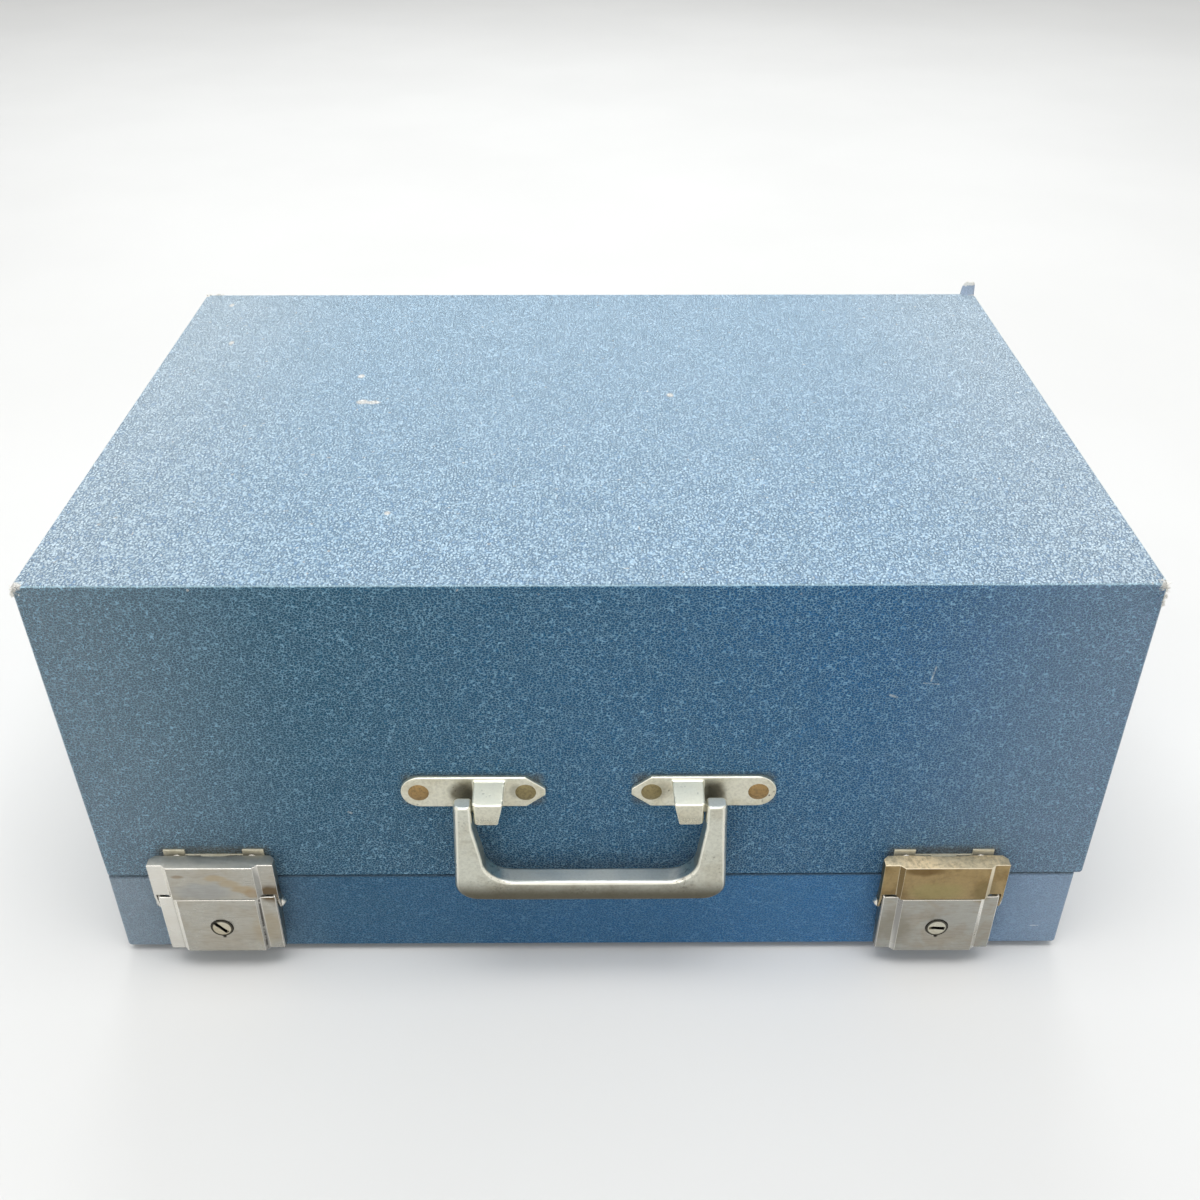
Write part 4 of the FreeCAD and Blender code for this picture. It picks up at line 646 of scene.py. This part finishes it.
def handle_stains():
    """Grime in the corners beside both lugs, as patches."""
    stains = []
    for side, way in (("left", -1), ("right", 1)):
        low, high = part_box(f"handle_plate_{side}")
        lug = (low.x if way > 0 else high.x) + way * LUG_PLACE
        for outward, drop, half_x, half_z, share in LUG_STAINS:
            centre = (lug + way * outward, low.y + LUG_STAIN_PLACE, high.z - drop)
            stains.append((centre, (half_x, LUG_STAIN_DEPTH, half_z), LUG_GRIME, share))
    return stains


def rivet_copper(name):
    """Flat rivet heads: browned copper on the outer ones, grey olive on the inner ones."""
    finish = Finish(name)
    low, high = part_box("handle_rivets")
    from_middle = finish.apart(finish.parts(finish.place)["X"], (low.x + high.x) / 2)
    colour = finish.mix(finish.between(from_middle, *RIVETS_PART), INNER_RIVET, OUTER_RIVET)
    spots = finish.noise(900, 4, 0.65)
    colour = finish.mix(finish.between(spots, 0.45, 0.7, 0.0, 0.5), colour, RIVET_SPOT)
    return finish.done(Base_Color=colour, Metallic=0.75, Roughness=finish.between(spots, 0.3, 0.7, 0.42, 0.6),
                       Normal=finish.bump(spots, 0.05 * MM, 0.5))


# Inside


def plywood(name):
    finish = Finish(name)
    grain = finish.noise(55, 5, 0.6, 0.6, finish.stretched((0.35, 6.0, 6.0)))
    fine = finish.noise(700, vector=finish.stretched((0.2, 3.0, 3.0)))
    colour = finish.mix(finish.between(grain, 0.35, 0.7), (0.50, 0.34, 0.19), (0.36, 0.22, 0.11))
    colour = finish.mix(finish.between(fine, 0.5, 0.75, 0.0, 0.4), colour, (0.24, 0.14, 0.07))
    return finish.done(Base_Color=colour, Roughness=0.62, Normal=finish.bump(fine, 0.1 * MM, 0.5))


def flocked_cloth(name):
    finish = Finish(name)
    nap = finish.noise(2600, 3, 0.7)
    wear = finish.noise(22, 3, 0.6)
    colour = finish.mix(finish.between(nap, 0.3, 0.7), (0.030, 0.034, 0.042), (0.085, 0.092, 0.105))
    colour = finish.mix(finish.between(wear, 0.5, 0.8, 0.0, 0.35), colour, (0.12, 0.125, 0.13))
    return finish.done(Base_Color=colour, Roughness=0.95, Normal=finish.bump(nap, 0.25 * MM, 0.8),
                       Sheen_Weight=0.35, Sheen_Roughness=0.6, Specular_IOR_Level=0.15)


def moulded_rubber(name):
    finish = Finish(name)
    dust = finish.noise(120, 4, 0.6)
    colour = finish.mix(finish.between(dust, 0.4, 0.75), (0.022, 0.021, 0.020), (0.085, 0.08, 0.075))
    return finish.done(Base_Color=colour, Roughness=finish.between(dust, 0.3, 0.7, 0.6, 0.85),
                       Normal=finish.bump(finish.noise(1500), 0.06 * MM, 0.5))


# The materials: one for each slot of the CAD nodes, then looked up by node where a piece differs

finishes = {
    "leatherette": leatherette("lid_leatherette", LID_LOOK),
    "base_leatherette": leatherette("base_leatherette", BASE_LOOK),
    "wood": plywood("plywood"),
    "lining_cloth": flocked_cloth("flocked_lining"),
    "nickelled_steel": worn_metal_with_highlights("satin_nickel", NICKEL, BROWN_STAIN, 0.24, 0.35, brushed=BRUSHED),
    "left_latch": worn_metal_with_highlights(
        "left_latch_nickel", NICKEL, BROWN_STAIN, 0.22, 0.25, brushed=BRUSHED,
        patches=latch_stains("left"),
        details=latch_details("left", (0.52, 0.51, 0.46), (0.34, 0.33, 0.30))),
    "right_latch": worn_metal_with_highlights(
        "right_latch_nickel", DARKER_NICKEL, BROWN_STAIN, 0.26, 0.35, brushed=BRUSHED,
        patches=latch_stains("right"),
        details=latch_details("right", (0.72, 0.68, 0.58), (0.30, 0.29, 0.27))),
    "right_hasp": worn_metal_with_highlights(
        "tarnished_hasp", (0.37, 0.27, 0.13), (0.20, 0.13, 0.05), 0.30, 0.7, bright=(0.86, 0.78, 0.60),
        patches=latch_stains("right"),
        details=latch_details("right", (0.92, 0.78, 0.54), (0.16, 0.10, 0.03))),
    "tarnished_plate": worn_metal_with_highlights(
        "tarnished_plate", (0.66, 0.62, 0.48), (0.40, 0.35, 0.20), 0.40, 0.6, bright=(0.86, 0.82, 0.68),
        metallic=0.35),
    "brass_fittings": worn_metal_with_highlights("dull_brass", (0.56, 0.49, 0.33), BRASS_STAIN, 0.28, 0.4),
    "lock_plug_left": worn_metal_with_highlights(
        "lock_plug_left", (0.62, 0.58, 0.46), BRASS_STAIN, 0.24, 0.4,
        details=lock_details("left", math.radians(-51), -0.7 * MM, 3.7 * MM)),
    "lock_plug_right": worn_metal_with_highlights(
        "lock_plug_right", (0.62, 0.60, 0.50), BRASS_STAIN, 0.24, 0.3,
        details=lock_details("right", math.radians(-6), 0.65 * MM, 2.6 * MM)),
    "cast_aluminium": worn_metal_with_highlights(
        "cast_aluminium", (0.50, 0.485, 0.43), (0.36, 0.32, 0.24), 0.38, 0.5, 0.75,
        bright=(0.80, 0.77, 0.66), patches=handle_stains()),
    "handle_plate": worn_metal_with_highlights(
        "cast_plate", (0.72, 0.70, 0.58), (0.54, 0.49, 0.35), 0.36, 0.5, 0.85,
        bright=(0.96, 0.94, 0.80), patches=handle_stains(), details=plate_details),
    "bail": worn_metal_with_highlights(
        "cast_bail", (0.66, 0.66, 0.57), (0.52, 0.49, 0.39), 0.33, 0.6, 0.35,
        bright=(0.94, 0.92, 0.80), details=bail_details),
    "copper_rivets": rivet_copper("browned_rivets"),
    "rubber": moulded_rubber("black_rubber"),
}
OTHER_THAN_SLOT = {
    "base_covering": "base_leatherette",
    "latch_hasp_left": "left_latch",
    "latch_lever_left": "left_latch",
    "latch_hasp_right": "right_hasp",
    "latch_lever_right": "right_latch",
    "strike_plate_left": "tarnished_plate",
    "strike_plate_right": "tarnished_plate",
    "lock_plug_left": "lock_plug_left",
    "lock_plug_right": "lock_plug_right",
}


def slot_of(name):
    return nodes[name].data.materials[0].name.split(".")[0]


def finish_for(name):
    """The material of a CAD node: that of its slot, apart from the few that differ."""
    return finishes[OTHER_THAN_SLOT.get(name) or slot_of(name)]


# Stand-ins for CAD nodes

SOFT_EDGES = {"latch_hasp": 0.30 * MM, "latch_lever": 0.30 * MM, "strike_plate": 0.12 * MM}
SAME_POINT = 0.0005 * MM
FLAT_BEND = math.radians(0.6)
SHARP_BEND = math.radians(28)
CAST_GRID = 0.36 * MM
CAST_EASING = 5


def mesh_of(name, form):
    mesh = bpy.data.meshes.new(name)
    form.to_mesh(mesh)
    form.free()
    return mesh


def placed(name, data):
    thing = bpy.data.objects.new(name, data)
    bpy.context.scene.collection.objects.link(thing)
    return thing


def stand_in(name, ending, material):
    """A fresh object with a node's shape: joined at its seams, with flat areas as single faces."""
    form = bmesh.new()
    form.from_mesh(nodes[name].data)
    bmesh.ops.remove_doubles(form, verts=form.verts, dist=SAME_POINT)
    bmesh.ops.dissolve_limit(form, angle_limit=FLAT_BEND, verts=form.verts, edges=form.edges)
    piece = placed(name + ending, mesh_of(name + ending, form))
    piece.data.materials.append(material)
    return piece


def take_place(piece, name):
    """Has a piece move with a CAD node's body and stand for that node."""
    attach(piece, body_of_node[name])
    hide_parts(name)


def softened(name, width):
    """Stands for a CAD node with the same shape and the slight roundness that pressed edges have."""
    piece = stand_in(name, "_soft", finish_for(name))
    piece.data.shade_smooth()
    bevel = piece.modifiers.new("edge", "BEVEL")
    bevel.width = width
    bevel.segments = 2
    bevel.use_clamp_overlap = False
    bevel.limit_method = "ANGLE"
    bevel.angle_limit = SHARP_BEND
    bevel.harden_normals = True
    take_place(piece, name)


def cast(name):
    """Stands for a CAD casting with the same shape, its edges rounded as a worn mould leaves them."""
    piece = stand_in(name, "_cast", finishes["handle_plate"])
    grid = piece.modifiers.new("grid", "REMESH")
    grid.mode = "VOXEL"
    grid.voxel_size = CAST_GRID
    grid.use_smooth_shade = True
    ease = piece.modifiers.new("ease", "SMOOTH")
    ease.factor = 0.5
    ease.iterations = CAST_EASING
    take_place(piece, name)


# Torn corners of the covering

FLAP_PARTS = 9
FLAP_WIDTH = 7.0 * MM
FLAP_HEIGHT = 7.6 * MM
FLAP_FROM_SIDE = 7.6 * MM
FLAP_FROM_BACK = 1.2 * MM
FLAP_SUNK = 0.8 * MM
FLAP_LEAN = 0.9 * MM
FLAP_CURL = 1.6 * MM
FLAP_BOW = 1.1 * MM
FLAP_NARROWING_SHARE = 0.22
FLAP_CREAM_FROM = 5.2 * MM
FLAP_THICKNESS = 0.5 * MM
FLAP_BLUE = (0.30, 0.37, 0.47)
CHIP_THICKNESS = 0.18 * MM
CHIP_STEPS = 3
CORNER_INSET = 0.7 * MM


def torn_finish(name, blue, cream_from):
    """Covering torn loose: blue on its face and cream where its fibres show, above cream_from."""
    finish = Finish(name)
    z = finish.parts(finish.place)["Z"]
    fibre = finish.noise(1400, 4, 0.7)
    ragged = finish.plus(z, finish.times(finish.noise(700, 3, 0.6), 2.4 * MM))
    cream = finish.between(ragged, cream_from + 0.8 * MM, cream_from + 1.7 * MM)
    streaks = finish.between(fibre, 0.3, 0.7)
    tone = finish.mix(streaks, (0.74, 0.72, 0.66), (0.93, 0.92, 0.88))
    face = finish.mix(streaks, blue, tuple(min(1.0, part * 1.4) for part in blue))
    return finish.done(Base_Color=finish.mix(cream, face, tone), Roughness=0.8, Specular_IOR_Level=0.2,
                       Normal=finish.bump(fibre, 0.2 * MM, 0.8))


def sheet_piece(name, form, thickness, material):
    """A piece of torn covering, which moves with the lid."""
    piece = placed(name, mesh_of(name, form))
    piece.data.materials.append(material)
    piece.data.shade_smooth()
    body = piece.modifiers.new("thickness", "SOLIDIFY")
    body.thickness = thickness
    body.offset = 0.0
    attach(piece, "lid")


def build_flap():
    """The covering's corner that stands up at the lid's back right, with a frayed upper edge."""
    chance = random.Random(7)
    corner = Vector((lid_high.x - FLAP_FROM_SIDE, lid_high.y - FLAP_FROM_BACK, lid_high.z - FLAP_SUNK))
    form = bmesh.new()
    grid = []
    for row in range(FLAP_PARTS + 1):
        rise = row / FLAP_PARTS
        fray = (-0.9, 0.5) if row == FLAP_PARTS else (-0.1, 0.1)
        narrow = 1.0 - FLAP_NARROWING_SHARE * rise * rise
        points = []
        for column in range(FLAP_PARTS + 1):
            place = column / FLAP_PARTS
            ragged = chance.uniform(*fray) * MM
            x = FLAP_WIDTH * (0.5 + (place - 0.5) * narrow) + FLAP_LEAN * rise
            y = FLAP_CURL * math.sin(rise * 1.9) - FLAP_BOW * math.cos(math.pi * (place - 0.5))
            z = FLAP_HEIGHT * rise * (0.80 + 0.20 * math.sin(math.pi * place)) + ragged
            points.append(form.verts.new(corner + Vector((x, y, z))))
        grid.append(points)
    for lower, upper in zip(grid, grid[1:]):
        for column in range(FLAP_PARTS):
            form.faces.new((lower[column], lower[column + 1], upper[column + 1], upper[column]))
    material = torn_finish("torn_flap", FLAP_BLUE, corner.z + FLAP_CREAM_FROM)
    sheet_piece("covering_flap", form, FLAP_THICKNESS, material)


def build_chips(name, start, end, outward, count, length, seed, material):
    """Small curled flakes of torn covering along an edge from start to end."""
    chance = random.Random(seed)
    form = bmesh.new()
    start, end = Vector(start), Vector(end)
    for _ in range(count):
        root = start.lerp(end, chance.random())
        way = [outward[axis] * chance.uniform(0.15, 1.0) + chance.uniform(-0.5, 0.5) for axis in range(3)]
        way = Vector(way).normalized()
        askew = Vector([chance.uniform(-1, 1) for _ in range(3)])
        side = way.cross(askew).normalized()
        curl = way.cross(side) * chance.uniform(-0.5, 0.5)
        reach = length * chance.uniform(0.45, 1.0)
        half = length * chance.uniform(0.12, 0.30)
        before = None
        for step in range(CHIP_STEPS + 1):
            share = step / CHIP_STEPS
            spot = root + way * reach * (share - 0.35) + curl * reach * share * share
            wide = side * (half * (1.0 - 0.7 * share))
            pair = (form.verts.new(spot - wide), form.verts.new(spot + wide))
            if before:
                form.faces.new((before[0], before[1], pair[1], pair[0]))
            before = pair
    sheet_piece(name, form, CHIP_THICKNESS, material)


def build_torn_corners():
    cream = torn_finish("torn_fibres", (0.55, 0.52, 0.46), 0.0)
    strip = torn_finish("torn_strip", (0.075, 0.14, 0.22), 1.0)
    left, right = lid_low.x + CORNER_INSET, lid_high.x - CORNER_INSET
    front, back = lid_low.y + CORNER_INSET, lid_high.y - CORNER_INSET
    top = lid_high.z - CORNER_INSET
    build_chips("fray_front_left", (left, front, top), (left, front, top - 4 * MM),
                (-1, -1, 0.6), 22, 2.3 * MM, 3, cream)
    build_chips("fray_front_right", (right, front, top), (right, front, top - 9 * MM),
                (1, -1, 0.3), 40, 2.2 * MM, 5, cream)
    build_chips("strip_front_right", (right - 1.5 * MM, front, top - 3 * MM),
                (right - 4 * MM, front, top - 9 * MM), (0.3, -0.35, 0.2), 9, 2.8 * MM, 9, strip)
    build_chips("fray_back_left", (left, back, top), (left + 9 * MM, back, top),
                (-0.6, 0.6, 0.7), 40, 2.6 * MM, 4, cream)


# The handle's swinging bail. Its section's corners are rounded in the order front inner, front outer,
# back outer, back inner

BAIL_ARM = 7.0 * MM
BAIL_FLARE = 1.5 * MM
BAIL_TAPER = 3.0 * MM
BAIL_STRAIGHT = 11.0 * MM
BAIL_GRIP = 11.1 * MM
BAIL_BOW = 0.9 * MM
BAIL_OUTER_TURN = 7.5 * MM
BAIL_INNER_TURN = 11.9 * MM
BAIL_ROUNDING = (1.9 * MM, 3.4 * MM, 2.2 * MM, 1.4 * MM)
BAIL_LEAST_ROUNDING = 0.3 * MM
BAIL_RIGHT_CLOSER = 0.9 * MM
BAIL_THINNING = 26.0 * MM
BAIL_THIN_FRONT = 0.2 * MM
BAIL_THIN_BACK = 2.0 * MM
ARM_END_START = 1.3 * MM
ARM_END_STEPS = ((0.12 * MM, -0.62 * MM), (0.45 * MM, -0.2 * MM), (1.1 * MM, 0.0))
TENON_RADIUS = 2.0 * MM
TENON_REACH = 7.5 * MM
TENON_ROOT = 2.0 * MM
TENON_DROP = 3.0 * MM
TENON_CHAMFER = 0.4 * MM
TENON_SIDES = 24
ARM_POINTS = 10
TURN_POINTS = 10
GRIP_POINTS = 8
STRAIGHT_POINTS = 3
ROUNDING_POINTS = 5


def arc(centre, radius, start, end, count):
    """Points on an arc in the bail's plane, from one angle to another, both included."""
    turns = [start + (end - start) * step / count for step in range(count + 1)]
    return [Vector((centre[0] + radius * math.cos(turn), centre[1] + radius * math.sin(turn)))
            for turn in turns]


def line(start, end, count):
    """Points on a line, without its first one."""
    start, end = Vector(start), Vector(end)
    return [start.lerp(end, (step + 1) / count) for step in range(count)]


def outer_edge(half, top, low):
    """One half of the bail's outer edge, from an arm's top to the grip's middle, which is bowed."""
    turn_z = low + BAIL_BOW + BAIL_OUTER_TURN
    grip_half = half - BAIL_OUTER_TURN
    edge = [Vector((half - BAIL_FLARE, top))]
    edge += line(edge[0], (half, turn_z), ARM_POINTS)
    edge += arc((grip_half, turn_z), BAIL_OUTER_TURN, 0.0, -math.pi / 2, TURN_POINTS)[1:]
    bow = line(edge[-1], (0.0, low), GRIP_POINTS)
    for point in bow:
        point.y = low + BAIL_BOW * (point.x / grip_half) ** 2
    return edge + bow


def inner_edge(half, top, low, closer):
    """One half of the bail's inner edge: straight beside the lug, then running in to the grip."""
    side = half - BAIL_FLARE - BAIL_ARM
    corner = side - BAIL_TAPER
    side -= closer
    hand = low + BAIL_GRIP
    turn_z = hand + BAIL_INNER_TURN
    edge = [Vector((side, top))]
    edge += line(edge[0], (side, top - BAIL_STRAIGHT), STRAIGHT_POINTS)
    edge += line(edge[-1], (corner, turn_z), ARM_POINTS - STRAIGHT_POINTS)
    edge += arc((corner - BAIL_INNER_TURN, turn_z), BAIL_INNER_TURN, 0.0, -math.pi / 2, TURN_POINTS)[1:]
    return edge + line(edge[-1], (0.0, hand), GRIP_POINTS)


def rounded_section(width, depth, inset=0.0):
    """A loop of places across (0 to width) and deep (0 to depth), with four rounded corners."""
    corners = (((0, 0), 180), ((1, 0), 270), ((1, 1), 0), ((0, 1), 90))
    loop = []
    for ((far, deep), start), radius in zip(corners, BAIL_ROUNDING):
        radius = max(radius - inset, BAIL_LEAST_ROUNDING)
        across = width - inset - radius if far else inset + radius
        into = depth - inset - radius if deep else inset + radius
        for step in range(ROUNDING_POINTS + 1):
            turn = math.radians(start + 90 * step / ROUNDING_POINTS)
            loop.append((across + radius * math.cos(turn), into + radius * math.sin(turn)))
    return loop


def bail_depths(low, high, height):
    """Where the bail's front stands at a height, and how deep it is: its arms thin towards their tops."""
    thin = max(0.0, 1.0 - (high.z - height) / BAIL_THINNING)
    return low.y + thin * BAIL_THIN_FRONT, high.y - low.y - thin * (BAIL_THIN_FRONT + BAIL_THIN_BACK)


def add_ring(form, inner, outer, middle_x, depths, side, inset=0.0, rise=0.0):
    """One section of the bail between two points of its edges, as a loop of vertices."""
    front, depth = depths
    way = (outer - inner).normalized()
    ring = []
    for across, into in rounded_section((outer - inner).length, depth, inset):
        spot = inner + way * across
        ring.append(form.verts.new((middle_x + side * spot.x, front + into, spot.y + rise)))
    return ring


def join_rings(form, first, second):
    for index in range(len(first)):
        after = (index + 1) % len(first)
        form.faces.new((first[index], first[after], second[after], second[index]))


def add_tenon(form, start, end, centre_y, centre_z):
    """A round tenon between two places on its axis, with a small chamfer at its far end."""
    lip = TENON_CHAMFER if start > end else -TENON_CHAMFER
    turns = [2 * math.pi * step / TENON_SIDES for step in range(TENON_SIDES)]
    tip_radius = TENON_RADIUS - TENON_CHAMFER
    rings = []
    for x, radius in ((start, TENON_RADIUS), (end + lip, TENON_RADIUS), (end, tip_radius)):
        places = [(x, centre_y + radius * math.cos(turn), centre_z + radius * math.sin(turn))
                  for turn in turns]
        rings.append([form.verts.new(place) for place in places])
    for first, second in zip(rings, rings[1:]):
        join_rings(form, first, second)
    form.faces.new(rings[0])
    form.faces.new(rings[-1])


def bail_form(low, high):
    """One casting: arms that widen towards a grip with a rounded underside, and a tenon in each lug."""
    half = (high.x - low.x) / 2
    middle_x = (high.x + low.x) / 2
    outer = outer_edge(half, high.z, low.z)
    right = list(zip(inner_edge(half, high.z, low.z, BAIL_RIGHT_CLOSER), outer))
    left = list(zip(inner_edge(half, high.z, low.z, 0.0), outer))
    form = bmesh.new()
    stations = [(*ends, 1) for ends in right] + [(*ends, -1) for ends in reversed(left[:-1])]
    rings = []
    for index, (near, far, side) in enumerate(stations):
        rise = -ARM_END_START if index in (0, len(stations) - 1) else 0.0
        depths = bail_depths(low, high, near.y)
        rings.append(add_ring(form, near, far, middle_x, depths, side, rise=rise))
    for first, second in zip(rings, rings[1:]):
        join_rings(form, first, second)
    for before, ends, side in ((rings[0], right[0], 1), (rings[-1], left[0], -1)):
        for inset, rise in ARM_END_STEPS:
            ring = add_ring(form, *ends, middle_x, bail_depths(low, high, high.z), side, inset, rise)
            join_rings(form, before, ring)
            before = ring
        form.faces.new(before)
    arm_in = half - BAIL_FLARE - BAIL_ARM
    for side in (1, -1):
        add_tenon(form, middle_x + side * (arm_in + TENON_ROOT), middle_x + side * (arm_in - TENON_REACH),
                  (low.y + high.y) / 2, high.z - TENON_DROP)
    bmesh.ops.recalc_face_normals(form, faces=form.faces)
    return form


def build_bail():
    low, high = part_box("handle_bail")
    piece = placed("handle_bail_cast", mesh_of("handle_bail_cast", bail_form(low, high)))
    piece.data.materials.append(finishes["bail"])
    piece.data.shade_smooth()
    even = piece.modifiers.new("even", "WEIGHTED_NORMAL")
    even.mode = "FACE_AREA"
    even.weight = 60
    take_place(piece, "handle_bail")


# Studio. The camera stands where it was fitted to the case's edges in the photograph

CAMERA_PLACE = (0.00107, -0.4991, 0.4297)
CAMERA_FORWARD = (0.00472, 0.82599, -0.56367)
CAMERA_RIGHT = (0.99998, -0.00545, 0.00038)
CAMERA_LENS = 38.3
CAMERA_WIDTH = 36.0
CAMERA_NEAREST = 10 * MM
FLOOR_HALF = 6.0
FLOOR_PARTS = 8
FLOOR_TONES = ((0.78, 0.78, 0.77), (0.81, 0.81, 0.80))
WHITE = (1.0, 1.0, 1.0)
LAMPS_AIM = (0.0, 0.0, 0.1)
LAMPS = (
    ("overhead", (0.0, -0.35, 1.9), (1.6, 1.0), 21.0, WHITE),
    ("front_fill", (-0.6, -2.2, 1.1), (1.6, 1.0), 8.0, WHITE),
    ("behind", (0.0, 1.7, 1.45), (1.8, 0.6), 15.0, (0.95, 0.98, 1.0)),
)
SKY_RISE = (-0.2, 1.0)
SKY_STRENGTH = (0.32, 0.66)
SKY_COLOUR = (1.0, 1.0, 0.99, 1.0)
BACKGROUND_COLOUR = (0.9, 0.9, 0.89, 1.0)


def build_lamp(name, place, size, watts, colour):
    data = bpy.data.lights.new(name, "AREA")
    data.shape = "RECTANGLE"
    data.size, data.size_y = size
    data.energy = watts
    data.color = colour
    lamp = placed(name, data)
    lamp.location = place
    lamp.rotation_mode = "QUATERNION"
    lamp.rotation_quaternion = (Vector(LAMPS_AIM) - lamp.location).to_track_quat("-Z", "Y")


def build_floor():
    """A plain pale floor with a slight unevenness in its tone."""
    form = bmesh.new()
    bmesh.ops.create_grid(form, x_segments=FLOOR_PARTS, y_segments=FLOOR_PARTS, size=FLOOR_HALF)
    floor = placed("floor", mesh_of("floor", form))
    finish = Finish("pale_floor")
    colour = finish.mix(finish.between(finish.noise(3, 3), 0.3, 0.7), *FLOOR_TONES)
    floor.data.materials.append(finish.done(Base_Color=colour, Roughness=0.6))


def build_world():
    """An even surround, brighter overhead, and white wherever the camera sees past the floor."""
    world = bpy.data.worlds.new("surround")
    world.use_nodes = True
    tree = world.node_tree
    tree.nodes.clear()
    place, split, rise, sky, background, path, choose, output = (
        tree.nodes.new("ShaderNode" + kind) for kind in (
            "TexCoord", "SeparateXYZ", "MapRange", "Background", "Background", "LightPath", "MixShader",
            "OutputWorld"))
    link = tree.links.new
    link(place.outputs["Generated"], split.inputs[0])
    link(split.outputs["Z"], rise.inputs["Value"])
    for words, ends in (("From", SKY_RISE), ("To", SKY_STRENGTH)):
        rise.inputs[words + " Min"].default_value, rise.inputs[words + " Max"].default_value = ends
    link(rise.outputs["Result"], sky.inputs["Strength"])
    sky.inputs["Color"].default_value = SKY_COLOUR
    background.inputs["Color"].default_value = BACKGROUND_COLOUR
    background.inputs["Strength"].default_value = 1.0
    seen = path.outputs["Is Camera Ray"]
    for kind in ("Is Glossy Ray", "Is Transmission Ray"):
        either = tree.nodes.new("ShaderNodeMath")
        either.operation = "MAXIMUM"
        link(seen, either.inputs[0])
        link(path.outputs[kind], either.inputs[1])
        seen = either.outputs[0]
    link(seen, choose.inputs[0])
    link(sky.outputs[0], choose.inputs[1])
    link(background.outputs[0], choose.inputs[2])
    link(choose.outputs[0], output.inputs[0])
    bpy.context.scene.world = world


def build_camera():
    data = bpy.data.cameras.new("camera")
    data.lens = CAMERA_LENS
    data.sensor_width = CAMERA_WIDTH
    data.clip_start = CAMERA_NEAREST
    camera = placed("camera", data)
    camera.location = CAMERA_PLACE
    forward = Vector(CAMERA_FORWARD).normalized()
    right = Vector(CAMERA_RIGHT).normalized()
    up = right.cross(forward)
    right = forward.cross(up)
    turn = camera.matrix_world.to_3x3()
    turn.col[0], turn.col[1], turn.col[2] = right, up, -forward
    camera.rotation_mode = "QUATERNION"
    camera.rotation_quaternion = turn.to_quaternion()
    bpy.context.scene.camera = camera


for kind, edge_width in SOFT_EDGES.items():
    for side in SIDES:
        softened(f"{kind}_{side}", edge_width)
build_bail()
build_flap()
build_torn_corners()
for side in SIDES:
    cast(f"handle_plate_{side}")
for node_name, node in nodes.items():
    material = finish_for(node_name)
    node.data.materials.clear()
    node.data.materials.append(material)

build_floor()
build_world()
build_camera()
for lamp in LAMPS:
    build_lamp(*lamp)

scene = bpy.context.scene
scene.view_settings.view_transform = "Standard"
